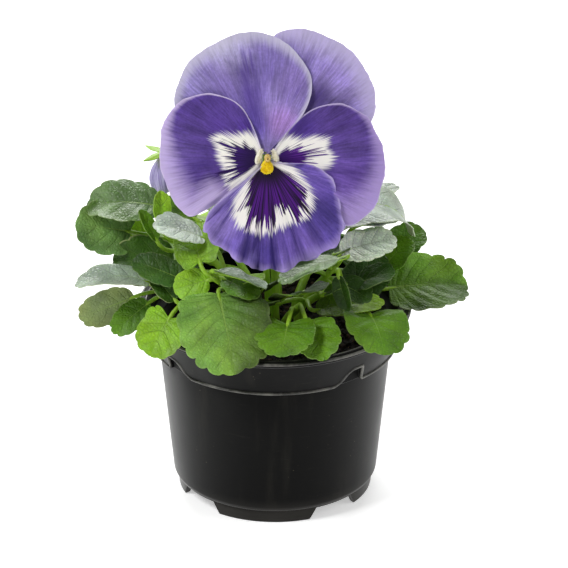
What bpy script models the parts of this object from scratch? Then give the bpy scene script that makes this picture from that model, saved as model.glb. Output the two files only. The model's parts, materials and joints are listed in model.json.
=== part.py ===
"""Potted viola: a nursery pot of potting soil, eight leafy stems, one large open bloom and one bud.

Frame: +Z up, -Y towards the viewer, origin on the surface that the pot stands on, at the
middle of the plant's outline, which is the pot's axis to within about a millimetre.
All sizes below are in millimetres; MM turns them into Blender's metres.
"""

import math
import random
from collections import namedtuple

import bmesh
import bpy
from mathutils import Matrix, Vector, noise

MM = 0.001
GAP = 0.3  # between two pieces that touch

# Pot: driving dimensions
RIM_RADIUS = 50.0
POT_HEIGHT = 72.2
LIP_INNER_RADIUS = 47.0
COLLAR_FOOT_Z = 57.0  # lower edge of the flared collar
COLLAR_FOOT_RADIUS = 44.1
WALL = 1.1
WALL_TOP_RADIUS = 42.5
WALL_FOOT_RADIUS = 37.3
FOOT_HEIGHT = 5.4
FOOT_RADIUS = 35.5
FOOT_WIDTH = 2.2
FLOOR_TOP_Z = 5.9
FLOOR_UNDER_Z = 4.6
FEATURE_TURN = -7.0  # degrees that the feet and notches are turned from the front
FOOT_GAP_ANGLE = 26.0
NOTCH_HEIGHT = 6.5
NOTCH_OFFSET = 46.0  # degrees from the pot's front or back to the middle of a notch
DRAIN_RADIUS = 3.6
DRAIN_RING_RADIUS = 27.0
POT_SIDES = 44

# Soil
SOIL_TOP_Z = 63.0
SOIL_CROWN = 2.2  # how much the middle stands above the edge
SOIL_SIDES = 24
SOIL_RINGS = 5
HOLE_DEPTH = 10.0

# Plant
BLADE_THICKNESS = 0.7
PETAL_THICKNESS = 0.62
STEM_RADIUS = 1.7
PETIOLE_RADIUS = 0.95
FLOWER_THROAT = Vector((-2.8, -22.0, 139.7))
FLOWER_TILT = 20.0  # degrees that the bloom looks up
PETAL_LAYER = 1.4  # spacing of the petals along the bloom's axis
DOME_DROP = 3.5  # how far a petal has curved back at DOME_RADIUS from the throat
DOME_RADIUS = 40.0

Leaf = namedtuple(
    "Leaf",
    "fork base heading pitch roll length width droop fold teeth lobe",
    defaults=(30, 18, 5, 0.0),
)
Petal = namedtuple("Petal", "layer outline ruffle waves")


def clear_scene():
    for obj in list(bpy.data.objects):
        bpy.data.objects.remove(obj, do_unlink=True)


def collection(name, hidden=False):
    made = bpy.data.collections.new(name)
    bpy.context.scene.collection.children.link(made)
    made.hide_render = hidden
    return made


def material(name, colour, roughness, metallic=0.0):
    made = bpy.data.materials.new(name)
    made.use_nodes = True
    shader = made.node_tree.nodes["Principled BSDF"]
    shader.inputs["Base Color"].default_value = (*colour, 1.0)
    shader.inputs["Roughness"].default_value = roughness
    shader.inputs["Metallic"].default_value = metallic
    return made


def add_object(name, mesh, group, paint=None):
    made = bpy.data.objects.new(name, mesh)
    group.objects.link(made)
    if paint is not None:
        mesh.materials.clear()
        mesh.materials.append(paint)
    return made


def evaluated_mesh(obj):
    """A new mesh of the object with its modifiers applied, with doubled points welded."""
    graph = bpy.context.evaluated_depsgraph_get()
    mesh = bpy.data.meshes.new_from_object(obj.evaluated_get(graph))
    work = bmesh.new()
    work.from_mesh(mesh)
    bmesh.ops.remove_doubles(work, verts=work.verts, dist=1e-6)
    work.to_mesh(mesh)
    work.free()
    return mesh


def smooth(mesh):
    mesh.shade_smooth()
    mesh.set_sharp_from_angle(angle=math.radians(40))


def apply_boolean(target, operation, others, solver="EXACT"):
    """Cuts or joins with each object of a collection, applies the result and removes those objects."""
    modifier = target.modifiers.new(operation, "BOOLEAN")
    modifier.operation = operation
    modifier.operand_type = "COLLECTION"
    modifier.collection = others
    modifier.solver = solver
    mesh = evaluated_mesh(target)
    target.modifiers.clear()
    target.data = mesh
    for obj in list(others.objects):
        bpy.data.objects.remove(obj, do_unlink=True)


def turned(name, profile, sides, group, paint=None):
    """A solid turned about Z from a profile of (radius, height) that starts and ends on the axis."""
    mesh = bpy.data.meshes.new(name)
    points = [(radius * MM, 0, height * MM) for radius, height in profile]
    mesh.from_pydata(points, [(i, i + 1) for i in range(len(points) - 1)], [])
    made = add_object(name, mesh, group)
    screw = made.modifiers.new("Screw", "SCREW")
    screw.steps = screw.render_steps = sides
    screw.use_merge_vertices = True
    screw.merge_threshold = 0.00001
    made.data = evaluated_mesh(made)
    made.modifiers.clear()
    if paint is not None:
        made.data.materials.clear()
        made.data.materials.append(paint)
    return made


def bezier(p0, p1, p2, p3, steps):
    """Points along a cubic curve, both ends included."""
    points = []
    for i in range(steps + 1):
        t = i / steps
        a, b, c, d = (1 - t) ** 3, 3 * t * (1 - t) ** 2, 3 * t * t * (1 - t), t**3
        points.append(p0 * a + p1 * b + p2 * c + p3 * d)
    return points


def tube(name, points, radii, group, sides_level=1):
    """A closed tube through the points, in millimetres, with a radius at each."""
    curve = bpy.data.curves.new(name, "CURVE")
    curve.dimensions = "3D"
    curve.bevel_depth = MM
    curve.bevel_resolution = sides_level
    curve.use_fill_caps = True
    spline = curve.splines.new("POLY")
    spline.points.add(len(points) - 1)
    for target, point, radius in zip(spline.points, points, radii):
        target.co = (*(point * MM), 1.0)
        target.radius = radius
    helper = add_object(name, curve, group)
    bpy.context.view_layer.update()
    mesh = evaluated_mesh(helper)
    bpy.data.objects.remove(helper, do_unlink=True)
    return add_object(name, mesh, group)


# Pot

def wall_radius(z):
    """Outer radius of the straight wall at a height."""
    share = (z - FOOT_HEIGHT) / (COLLAR_FOOT_Z - FOOT_HEIGHT)
    return WALL_FOOT_RADIUS + share * (WALL_TOP_RADIUS - WALL_FOOT_RADIUS)


def pot_profile():
    inner_foot = wall_radius(FLOOR_TOP_Z) - WALL
    inner_step_z = COLLAR_FOOT_Z + NOTCH_HEIGHT + 1.2
    outer = [
        (LIP_INNER_RADIUS, POT_HEIGHT),
        (RIM_RADIUS, POT_HEIGHT - 0.7),
        (RIM_RADIUS, POT_HEIGHT - 1.6),
        (RIM_RADIUS - 1.0, POT_HEIGHT - 2.0),
        (COLLAR_FOOT_RADIUS + 0.4, COLLAR_FOOT_Z + 1.0),
        (COLLAR_FOOT_RADIUS - 0.3, COLLAR_FOOT_Z),
        (WALL_TOP_RADIUS, COLLAR_FOOT_Z),
        (wall_radius(FOOT_HEIGHT + 1.4), FOOT_HEIGHT + 1.4),
        (WALL_FOOT_RADIUS - 0.6, FOOT_HEIGHT),
        (FOOT_RADIUS + 0.4, FOOT_HEIGHT - 0.2),
        (FOOT_RADIUS, 0),
        (FOOT_RADIUS - FOOT_WIDTH, 0),
        (FOOT_RADIUS - FOOT_WIDTH, FLOOR_UNDER_Z),
        (0, FLOOR_UNDER_Z),
    ]
    inner = [
        (0, FLOOR_TOP_Z),
        (inner_foot - 1.0, FLOOR_TOP_Z),
        (inner_foot, FLOOR_TOP_Z + 1.0),
        (wall_radius(inner_step_z) - WALL, inner_step_z),
        (LIP_INNER_RADIUS - 1.2, inner_step_z + 1.0),
        (LIP_INNER_RADIUS - 0.2, POT_HEIGHT - 1.2),
        (LIP_INNER_RADIUS, POT_HEIGHT),
    ]
    # The Screw needs the outer side to run downwards, so the profile goes from the floor's
    # top up the inner side, over the lip and down the outer side.
    return inner[:-1] + outer


def foot_gap_cutter(angle, group):
    """A four-sided frustum that opens the foot ring, wider at the surface than at the wall."""
    work = bmesh.new()
    half_top = FOOT_RADIUS * math.sin(math.radians(FOOT_GAP_ANGLE / 2))
    half_under = half_top + 3.0
    depth = FLOOR_UNDER_Z + 1.0
    bmesh.ops.create_cone(
        work, cap_ends=True, segments=4,
        radius1=half_under * math.sqrt(2), radius2=half_top * math.sqrt(2), depth=depth,
    )
    bmesh.ops.rotate(work, verts=work.verts, matrix=Matrix.Rotation(math.radians(45), 3, "Z"))
    bmesh.ops.scale(work, verts=work.verts, vec=(0.5, 1, 1))
    bmesh.ops.translate(work, verts=work.verts, vec=(FOOT_RADIUS, 0, depth / 2 - 1.0))
    bmesh.ops.rotate(work, verts=work.verts, matrix=Matrix.Rotation(math.radians(angle), 3, "Z"))
    bmesh.ops.scale(work, verts=work.verts, vec=(MM, MM, MM))
    mesh = bpy.data.meshes.new("foot_gap")
    work.to_mesh(mesh)
    work.free()
    add_object("foot_gap", mesh, group)


def notch_cutter(angle, side, group):
    """A prism that raises the collar's lower edge, steep on one side and S-shaped on the other."""
    rise, foot = NOTCH_HEIGHT, -1.5
    half_top, half_foot = 3.3, 5.6
    outline = [
        (-half_foot - 1.4, foot),
        (-half_foot, 0.3),
        (-half_foot + 1.2, 1.8),
        (-half_top - 0.4, rise - 1.2),
        (-half_top + 1.0, rise - 0.2),
        (half_top, rise),
        (half_foot - 1.2, 0.0),
        (half_foot - 1.2, foot),
    ]
    curve = bpy.data.curves.new("notch", "CURVE")
    curve.dimensions = "2D"
    curve.fill_mode = "BOTH"
    curve.extrude = 6.0 * MM
    spline = curve.splines.new("POLY")
    spline.points.add(len(outline) - 1)
    for target, (across, up) in zip(spline.points, outline):
        target.co = (side * across * MM, up * MM, 0, 1)
    spline.use_cyclic_u = True
    helper = add_object("notch", curve, group)
    taper = math.atan2(WALL_TOP_RADIUS - WALL_FOOT_RADIUS, COLLAR_FOOT_Z - FOOT_HEIGHT)
    # The outline is drawn in X and Y: stand it up, lean it with the wall, push it out and turn it.
    helper.matrix_world = (
        Matrix.Rotation(math.radians(angle), 4, "Z")
        @ Matrix.Translation(Vector((WALL_TOP_RADIUS + 0.1, 0, COLLAR_FOOT_Z)) * MM)
        @ Matrix.Rotation(taper, 4, "Y")
        @ Matrix.Translation(Vector((6.0, 0, 0)) * MM)
        @ Matrix.Rotation(math.radians(90), 4, "Z")
        @ Matrix.Rotation(math.radians(90), 4, "X")
    )
    bpy.context.view_layer.update()
    mesh = evaluated_mesh(helper)
    made = add_object("notch_cut", mesh, group)
    made.matrix_world = helper.matrix_world.copy()
    bpy.data.objects.remove(helper, do_unlink=True)


def upright_cylinder(name, x, y, radius, low, high, group, segments=16):
    work = bmesh.new()
    bmesh.ops.create_cone(
        work, cap_ends=True, segments=segments,
        radius1=radius * MM, radius2=radius * MM, depth=(high - low) * MM,
    )
    middle = Vector((x, y, (low + high) / 2)) * MM
    bmesh.ops.translate(work, verts=work.verts, vec=middle)
    mesh = bpy.data.meshes.new(name)
    work.to_mesh(mesh)
    work.free()
    return add_object(name, mesh, group)


def build_pot(group, cutters, paint):
    pot = turned("pot", pot_profile(), POT_SIDES, group, paint)
    front = -90 + FEATURE_TURN
    for quarter in range(4):
        angle = front + 45 + 90 * quarter
        foot_gap_cutter(angle, cutters)
        around = math.radians(angle)
        upright_cylinder(
            "drain", DRAIN_RING_RADIUS * math.cos(around), DRAIN_RING_RADIUS * math.sin(around),
            DRAIN_RADIUS, FLOOR_UNDER_Z - 2, FLOOR_TOP_Z + 2, cutters,
        )
    for half_turn in (0, 180):
        notch_cutter(front + half_turn + NOTCH_OFFSET, 1, cutters)
        notch_cutter(front + half_turn - NOTCH_OFFSET, -1, cutters)
    apply_boolean(pot, "DIFFERENCE", cutters)
    smooth(pot.data)
    return pot


# Soil

def soil_height(x, y):
    """Height of the soil's surface: a low crown with lumps."""
    radius = math.hypot(x, y)
    edge = wall_radius(SOIL_TOP_Z) - WALL
    crown = SOIL_CROWN * (1 - (radius / edge) ** 2)
    lumps = noise.noise(Vector((x, y, 3.0)) * 0.14) + 0.6 * noise.noise(Vector((x, y, 9.0)) * 0.4)
    return SOIL_TOP_Z + crown + 0.9 * lumps


def build_soil(group, cutters, paint, holes):
    side_top_z = SOIL_TOP_Z - 1.2
    top_radius = wall_radius(side_top_z) - WALL - GAP
    inner_foot = wall_radius(FLOOR_TOP_Z) - WALL
    rings = [top_radius * ring / SOIL_RINGS for ring in range(SOIL_RINGS)]
    profile = [(radius, SOIL_TOP_Z) for radius in rings]
    profile += [
        (top_radius, side_top_z),
        (inner_foot - GAP, FLOOR_TOP_Z + 1.2),
        (inner_foot - 1.2, FLOOR_TOP_Z + GAP),
        (0, FLOOR_TOP_Z + GAP),
    ]
    soil = turned("soil", profile, SOIL_SIDES, group, paint)
    for vertex in soil.data.vertices:
        if vertex.co.z > (side_top_z + 0.5) * MM:
            vertex.co.z = soil_height(vertex.co.x / MM, vertex.co.y / MM) * MM
    for x, y, radius in holes:
        upright_cylinder(
            "stem_hole", x, y, radius + GAP + 0.1,
            SOIL_TOP_Z - HOLE_DEPTH, SOIL_TOP_Z + 12, cutters, segments=10,
        )
    apply_boolean(soil, "DIFFERENCE", cutters)
    smooth(soil.data)
    return soil


# Leaf blades

def blade_outline(leaf, angle):
    """Half width and distance along the rib of the margin, angle 0 at the base and pi at the tip."""
    along = ((1 - math.cos(angle)) / 2) ** 1.15
    across = math.sin(angle) ** 0.8
    back = leaf.lobe * math.sin(min(angle / (0.55 * math.pi), 1.0) * math.pi)
    x, y = 0.5 * leaf.width * across, leaf.length * (along - back)
    first_notch = 0.2 * math.pi
    if angle > first_notch:
        left = (math.pi - angle) / (math.pi - first_notch)
        bump = abs(math.cos(math.pi * leaf.teeth * left)) ** 0.5
        shrink = 1 - 0.075 * (1 - bump)
        middle = 0.42 * leaf.length
        x, y = x * shrink, middle + (y - middle) * shrink
    return x, y


def blade_angles(leaf):
    """Angles of the rows: two round the lobe, then the notch and the top of each tooth."""
    first_notch = 0.2 * math.pi
    step = (math.pi - first_notch) / leaf.teeth
    angles = [0.0, 0.1 * math.pi, first_notch]
    for tooth in range(leaf.teeth, 0, -1):
        angles += [math.pi - (tooth - 0.5) * step, math.pi - (tooth - 1) * step]
    return angles


def blade_point(leaf, x, y):
    """A flat point of the blade, folded along the rib and arched, in the leaf's own axes."""
    fold = math.radians(leaf.fold)
    across, up = x * math.cos(fold), abs(x) * math.sin(fold)
    up += 0.03 * leaf.width * math.sin(9.0 * y / leaf.length + (1.5 if x > 0 else 0)) * (
        2 * abs(x) / leaf.width
    ) ** 2
    share = min(max(y / leaf.length, 0.0), 1.0)
    bend = math.radians(leaf.droop)
    steps = 8
    along = lift = 0.0
    for i in range(steps):
        turn = bend * share * (i + 0.5) / steps
        along += share * leaf.length / steps * math.cos(turn)
        lift -= share * leaf.length / steps * math.sin(turn)
    if y < 0:
        along = y
    turn = bend * share
    return Vector((across, along + up * math.sin(turn), lift + up * math.cos(turn)))


def leaf_matrix(leaf):
    """The leaf's axes: X across, Y along the rib, Z out of the upper face."""
    heading, pitch = math.radians(leaf.heading), math.radians(leaf.pitch)
    forward = Vector(
        (math.cos(heading) * math.cos(pitch), math.sin(heading) * math.cos(pitch), math.sin(pitch))
    )
    right = Vector((math.sin(heading), -math.cos(heading), 0))
    up = right.cross(forward)
    axes = Matrix((right, forward, up)).transposed().to_4x4()
    return Matrix.Translation(leaf.base) @ axes @ Matrix.Rotation(math.radians(leaf.roll), 4, "Y")


def build_blade(leaf, group):
    place = leaf_matrix(leaf)
    work = bmesh.new()
    ribs, edges = [], ([], [])
    angles = blade_angles(leaf)
    for i, angle in enumerate(angles):
        x, y = blade_outline(leaf, angle)
        rib_y = leaf.length * i / (len(angles) - 1)
        ends = i in (0, len(angles) - 1)
        rib = work.verts.new(place @ blade_point(leaf, 0, y if ends else rib_y) * MM)
        ribs.append(rib)
        for side, row in zip((-1, 1), edges):
            row.append(rib if ends else work.verts.new(place @ blade_point(leaf, side * x, y) * MM))
    for i in range(len(angles) - 1):
        for side, row in enumerate(edges):
            corners = [ribs[i], ribs[i + 1], row[i + 1], row[i]]
            loops = [corners[:3], [corners[0], corners[2], corners[3]]]
            for loop in loops:
                if len(set(loop)) == 3:
                    work.faces.new(loop if side == 0 else loop[::-1])
    mesh = bpy.data.meshes.new("blade")
    bmesh.ops.recalc_face_normals(work, faces=work.faces)
    work.to_mesh(mesh)
    work.free()
    helper = add_object("blade_sheet", mesh, group)
    solidify = helper.modifiers.new("Solidify", "SOLIDIFY")
    solidify.thickness = BLADE_THICKNESS * MM
    solidify.offset = 0
    made = add_object("blade", evaluated_mesh(helper), group)
    bpy.data.objects.remove(helper, do_unlink=True)
    return made


def build_petiole(leaf, start, group):
    """The leaf's stalk, from the stem's middle to just past the base of the rib."""
    place = leaf_matrix(leaf)
    base = place @ Vector((0, 0, 0))
    forward = (place.to_3x3() @ Vector((0, 1, 0))).normalized()
    reach = 0.4 * (base - start).length
    rise = Vector((0.3 * (base.x - start.x), 0.3 * (base.y - start.y), 0.4 * abs(base.z - start.z) + 3))
    points = bezier(start, start + rise, base - forward * reach, base, 4)
    points.append(place @ blade_point(leaf, 0, leaf.length * 0.1))
    radii = [PETIOLE_RADIUS] * 4 + [PETIOLE_RADIUS * 0.9, 0.5]
    tube("petiole", points, radii, group, sides_level=0)


# Leafy stems: the hole that each stands in, its upper end, and its leaves. A leaf has the
# share of the stem that it forks from, the place of its blade's base, then heading, pitch
# and roll in degrees, length and width.

TIERS = {  # reach from the pot's axis, height, pitch, length, width, lobe, fork
    "low": (32.5, 79, 6, 28, 24, 0.14, 0.5),
    "mid": (28, 90, 14, 24, 19, 0.08, 0.75),
    "high": (20, 100, 26, 25, 20, 0.04, 1.0),
}


def back_leaf(tier, heading, roll=0):
    """A leaf of the side that the front hides, which points away from the pot's axis."""
    reach, height, pitch, length, width, lobe, fork = TIERS[tier]
    around = math.radians(heading)
    base = Vector((reach * math.cos(around), reach * math.sin(around), height))
    return Leaf(fork, base, heading, pitch, roll, length, width, 42, 14, 4, lobe)


STEMS = {
    "leafy_stem_left_high": (
        (-9.0, 3.0), (-26, 5, 92),
        [
            Leaf(1.0, Vector((-42, 4, 109)), 184, 18, -20, 27, 22, 40, 10),
            Leaf(0.7, Vector((-53, 2, 100)), 188, 14, -52, 20, 21, 10, 8, 5, 0.16),
            Leaf(0.5, Vector((-46, 9, 88)), 150, 42, -30, 18, 15, 30, 15, 4),
            Leaf(0.9, Vector((-43, -9, 102)), 178, 66, -40, 13, 6, 10, 20, 3),
            Leaf(1.0, Vector((-41, -8, 108)), 90, 75, 30, 12, 8, 10, 20, 3),
            Leaf(0.9, Vector((-29, -2, 107)), 174, 34, -30, 14, 10, 20, 10, 3),
        ],
    ),
    "leafy_stem_left_low": (
        (-8.0, -4.5), (-27, -12, 80),
        [
            Leaf(1.0, Vector((-45.8, -14, 87)), 187, 30, -6, 28, 17, 62, 10, 4),
            Leaf(0.9, Vector((-40, -1, 86)), 186, 12, -62, 22, 20, 30, 14, 4),
            Leaf(0.95, Vector((-33, -19, 89)), 176, 28, -40, 22, 16, 20, 10, 4),
            Leaf(0.6, Vector((-52.3, -3, 74)), 184, -12, -78, 21.5, 17, 10, 8, 5),
            Leaf(0.5, Vector((-47, -11, 77.5)), 210, -26, -48, 18, 12, 16, 12, 4),
            Leaf(0.6, Vector((-38, -33, 82)), 236, -34, -16, 15.5, 18, 20, 6, 5, 0.28),
            Leaf(0.8, Vector((-36, -22, 84)), 150, 40, -50, 13, 8, 20, 20, 3),
            Leaf(0.5, Vector((-23, -20, 75)), 240, 14, -20, 15, 13, 20, 10, 3),
        ],
    ),
    "leafy_stem_front": (
        (-3.0, -8.5), (-16, -20, 84),
        [
            Leaf(0.9, Vector((-20.2, -29, 89.5)), 282, -24, 3, 32.5, 34.5, 26, 9, 6, 0.16),
            Leaf(0.95, Vector((-27, -24, 100.5)), 104, 34, -20, 19, 17, 30, 8, 4, 0.18),
            Leaf(1.0, Vector((-21, -27, 98)), 332, 4, -20, 21, 13, 20, 12, 4),
            Leaf(0.8, Vector((-18.5, -24, 93.5)), 330, -8, 24, 15, 11, 18, 8, 3),
            Leaf(1.0, Vector((-26, -16, 106)), 196, 34, -14, 19.5, 16, 28, 10, 5),
            Leaf(0.85, Vector((-24, -24, 93)), 190, -10, -50, 13, 12, 20, 8, 3),
            Leaf(0.7, Vector((-6, -17, 84)), 290, 50, 0, 14, 13, 20, 10, 3),
            Leaf(0.5, Vector((-7, -23, 74)), 280, 8, 10, 15, 13, 20, 10, 3),
        ],
    ),
    "leafy_stem_front_right": (
        (3.5, -8.5), (24, -13, 87),
        [
            Leaf(0.3, Vector((4.5, -34, 79.6)), 265, -8, 5, 16.5, 24.5, 20, 8, 5, 0.3),
            Leaf(0.4, Vector((12, -32, 79.5)), 288, -12, 8, 18.5, 19, 14, 10, 5, 0.1),
            Leaf(0.6, Vector((34.5, -22, 78)), 290, -4, -6, 19, 24, 46, 8, 5, 0.26),
            Leaf(0.5, Vector((18, -15, 77.5)), 2, 13, 4, 23, 13, 16, 8, 4),
            Leaf(1.0, Vector((23, -23, 94)), 300, -62, 60, 13, 8, 10, 24, 3),
            Leaf(0.7, Vector((10, -18, 85)), 300, 36, 10, 15, 13, 20, 8, 3),
            Leaf(0.9, Vector((22, -16, 88.5)), 330, -8, 20, 15, 12, 20, 8, 3),
        ],
    ),
    "leafy_stem_right": (
        (8.5, -1.0), (24, 0, 90),
        [
            Leaf(0.6, Vector((42, 2, 77)), 10, 6, 26, 30, 27, 24, 14, 6, 0.1),
            Leaf(1.0, Vector((24, -14, 99)), 10, 18, 14, 21, 17, 30, 8, 5),
            Leaf(0.9, Vector((24, -20, 98.2)), 214, 6, 14, 27, 18, 26, 10, 6),
            Leaf(1.0, Vector((32, -3, 105.5)), 12, 10, 6, 13, 10, 20, 10, 3),
            Leaf(0.95, Vector((20, 4, 101.5)), 2, 56, 16, 40, 27, 140, 8, 5),
            Leaf(0.6, Vector((28, -5, 78)), 30, 44, 40, 19, 17, 20, 10, 4, 0.1),
            Leaf(0.75, Vector((39, 5, 83)), 18, 52, 30, 16, 12, 30, 8, 3),
        ],
    ),
    "leafy_stem_right_back": (
        (7.5, 5.5), (17, 18, 88),
        [
            back_leaf("low", 42, 6), back_leaf("mid", 58, -6), back_leaf("high", 58, 8),
            Leaf(1.0, Vector((28, 26, 101)), 4, 22, 5, 18.5, 11, 14, 10, 4),
            Leaf(0.8, Vector((43, 20, 83.5)), 28, 30, 30, 15, 14, 20, 8, 3),
        ],
    ),
    "leafy_stem_back": (
        (1.0, 9.5), (1, 22, 88),
        [
            back_leaf("low", 75, -6), back_leaf("low", 108, 6),
            back_leaf("mid", 91, 8), back_leaf("high", 98, -4),
        ],
    ),
    "leafy_stem_left_back": (
        (-6.0, 8.0), (-17, 18, 88),
        [
            back_leaf("low", 141, -6), back_leaf("mid", 124, 6), back_leaf("mid", 152, -8),
            back_leaf("high", 138, 4),
        ],
    ),
}


def build_leafy_stem(name, hole, end, leaves, group, parts, paint):
    foot = Vector((hole[0], hole[1], SOIL_TOP_Z - HOLE_DEPTH + GAP))
    collar = Vector((hole[0], hole[1], SOIL_TOP_Z + SOIL_CROWN + 1.0))
    end = Vector(end)
    bow = bezier(collar, collar + Vector((0, 0, 8)), end + (collar - end) * 0.3, end, 8)
    radii = [STEM_RADIUS] * 2 + [STEM_RADIUS * (1 - 0.05 * i) for i in range(len(bow) - 1)]
    stem = tube(name, [foot] + bow, radii, group)
    for leaf in leaves:
        place = leaf.fork * (len(bow) - 1)
        low = min(int(place), len(bow) - 2)
        start = bow[low].lerp(bow[low + 1], place - low)
        build_blade(leaf, parts)
        build_petiole(leaf, start, parts)
    apply_boolean(stem, "UNION", parts)
    stem.data.materials.clear()
    stem.data.materials.append(paint)
    smooth(stem.data)
    return stem


# Flower

def flower_matrix():
    """The bloom's axes: X to the right, Y up in the petals' plane, Z towards the viewer."""
    return Matrix.Translation(FLOWER_THROAT) @ Matrix.Rotation(
        math.radians(90 - FLOWER_TILT), 4, "X"
    )


PETALS = {
    "petal_upper_right": Petal(
        -3,
        [(0.4, 2.0), (12, 4.5), (25.5, 6.5), (35, 11), (39, 18), (38, 25.4), (34.2, 33.8),
         (25.1, 42), (14.6, 45.9), (5.9, 45.9), (0.5, 40), (-1.5, 27), (-0.6, 12)],
        0.35, 5,
    ),
    "petal_upper_left": Petal(
        -2,
        [(-0.3, 2.0), (-12, 5.8), (-24.4, 8.8), (-31.7, 16), (-32.7, 24.4), (-27.3, 35),
         (-16.1, 42.8), (-2.9, 45.3), (6.8, 41.3), (14.2, 33.2), (16, 24.4), (12.7, 16),
         (5, 7.3)],
        0.35, 5,
    ),
    "petal_side_right": Petal(
        -1,
        [(1.6, 0.6), (5.9, 8.3), (15.6, 17.6), (26.4, 20), (35.4, 15.4), (39, 9.8),
         (42.2, 1), (41.6, -7.8), (38.6, -16.9), (31.2, -23.5), (23.4, -21.5),
         (12.7, -11.7), (4.4, -3)],
        0.35, 6,
    ),
    "petal_side_left": Petal(
        -1,
        [(-1.6, 0.4), (-4.9, 11.7), (-10.7, 20.3), (-20.5, 23.6), (-29.3, 21.5),
         (-35.8, 15.4), (-38.3, 5.7), (-37.6, -4.7), (-33.4, -15), (-28.5, -20.2),
         (-22.4, -18.5), (-13, -12), (-4.8, -6)],
        0.35, 6,
    ),
    "petal_lower": Petal(
        0,
        [(0.2, -0.8), (-8.4, -8.2), (-18.5, -16.1), (-22.5, -23.4), (-20.5, -28.6),
         (-12.7, -34.7), (-5.4, -38.9), (4.9, -40), (15.6, -35.9), (24.4, -31),
         (27.5, -24.4), (25.9, -15.6), (23.4, -6.8), (16.1, -1.9), (6.8, -1.0)],
        0.9, 9,
    ),
}


def closed_spline(points, steps):
    """A smooth closed line through the points, steps to each stretch."""
    count = len(points)
    line = []
    for i in range(count):
        p0, p1, p2, p3 = (Vector(points[(i + k - 1) % count]) for k in range(4))
        for step in range(steps):
            t = step / steps
            line.append(
                0.5
                * (
                    2 * p1
                    + (p2 - p0) * t
                    + (2 * p0 - 5 * p1 + 4 * p2 - p3) * t**2
                    + (3 * p1 - p0 - 3 * p2 + p3) * t**3
                )
            )
    return line


def petal_height(petal, x, y, share, turn):
    """Height of a petal out of the bloom's plane: its layer, a shallow dome and a ruffled edge."""
    dome = -DOME_DROP * (x * x + y * y) / DOME_RADIUS**2
    ruffle = petal.ruffle * share**3 * math.sin(2 * math.pi * petal.waves * turn)
    return petal.layer * PETAL_LAYER + dome + ruffle


def build_petal(name, petal, group, paint, steps=2, rings=(0.42, 0.78, 1.0)):
    """Spokes run from the claw, which is the outline's first point, to the rest of the outline."""
    place = flower_matrix()
    outline = closed_spline(petal.outline, steps)
    claw = outline[0]
    edge = outline[1:]
    work = bmesh.new()
    root = work.verts.new(place @ Vector((*claw, petal_height(petal, *claw, 0, 0))) * MM)
    rows = []
    for ring in rings:
        row = []
        for i, point in enumerate(edge):
            x, y = claw.lerp(point, ring)
            height = petal_height(petal, x, y, ring, i / len(edge))
            row.append(work.verts.new(place @ Vector((x, y, height)) * MM))
        rows.append(row)
    for i in range(len(edge) - 1):
        work.faces.new((root, rows[0][i], rows[0][i + 1]))
        for inner, outer in zip(rows, rows[1:]):
            work.faces.new((inner[i], outer[i], outer[i + 1]))
            work.faces.new((inner[i], outer[i + 1], inner[i + 1]))
    bmesh.ops.recalc_face_normals(work, faces=work.faces)
    mesh = bpy.data.meshes.new(name)
    work.to_mesh(mesh)
    work.free()
    helper = add_object(name + "_sheet", mesh, group)
    solidify = helper.modifiers.new("Solidify", "SOLIDIFY")
    solidify.thickness = PETAL_THICKNESS * MM
    solidify.offset = 0
    made = add_object(name, evaluated_mesh(helper), group, paint)
    bpy.data.objects.remove(helper, do_unlink=True)
    smooth(made.data)
    return made


def build_spur(petal, parts):
    """The hollow-looking spur that runs back from the lower petal's base, under the calyx."""
    place = flower_matrix()
    route = [(0, -3.9, 0.1), (0, -3.8, -3.0), (0, -3.6, -7.0), (0, -3.0, -11.0)]
    points = [place @ Vector(point) for point in route]
    tube("spur", points, [1.1, 1.2, 1.1, 0.8], parts)
    apply_boolean(petal, "UNION", parts)


def build_pistil(group, paint):
    """The round stigma on the end of the calyx's column, above the yellow pad."""
    work = bmesh.new()
    bmesh.ops.create_uvsphere(work, u_segments=10, v_segments=6, radius=1.0)
    bmesh.ops.scale(work, verts=work.verts, vec=(1.2, 1.5, 1.1))
    bmesh.ops.translate(work, verts=work.verts, vec=(0.2, 1.0, 2.7))
    bmesh.ops.transform(work, verts=work.verts, matrix=Matrix.Scale(MM, 4) @ flower_matrix())
    mesh = bpy.data.meshes.new("pistil")
    work.to_mesh(mesh)
    work.free()
    made = add_object("pistil", mesh, group, paint)
    smooth(mesh)
    return made


def sepal(place, angle, parts, length=13.0, width=4.4, lean=12.0, start=1.2):
    """One pointed sepal that lies behind the petals, from the receptacle outwards."""
    leaf = Leaf(0, Vector((0, 0, 0)), 90, 0, 0, length, width, 6, 10, 1)
    turn = place @ Matrix.Rotation(math.radians(angle), 4, "Z")
    turn = turn @ Matrix.Translation((0, start, 0)) @ Matrix.Rotation(math.radians(-lean), 4, "X")
    work = bmesh.new()
    rows = []
    shares = (0.0, 0.35, 0.7, 1.0)
    for share in shares:
        half = 0.5 * width * math.sin(math.pi * (0.25 + 0.75 * share)) if share < 1 else 0.25
        row = [turn @ blade_point(leaf, side * half, length * share) * MM for side in (-1, 0, 1)]
        rows.append([work.verts.new(point) for point in row])
    for low, high in zip(rows, rows[1:]):
        for i in (0, 1):
            work.faces.new((low[i], low[i + 1], high[i + 1]))
            work.faces.new((low[i], high[i + 1], high[i]))
    mesh = bpy.data.meshes.new("sepal")
    work.to_mesh(mesh)
    work.free()
    helper = add_object("sepal_sheet", mesh, parts)
    solidify = helper.modifiers.new("Solidify", "SOLIDIFY")
    solidify.thickness = BLADE_THICKNESS * MM
    solidify.offset = 0
    add_object("sepal", evaluated_mesh(helper), parts)
    bpy.data.objects.remove(helper, do_unlink=True)


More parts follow.
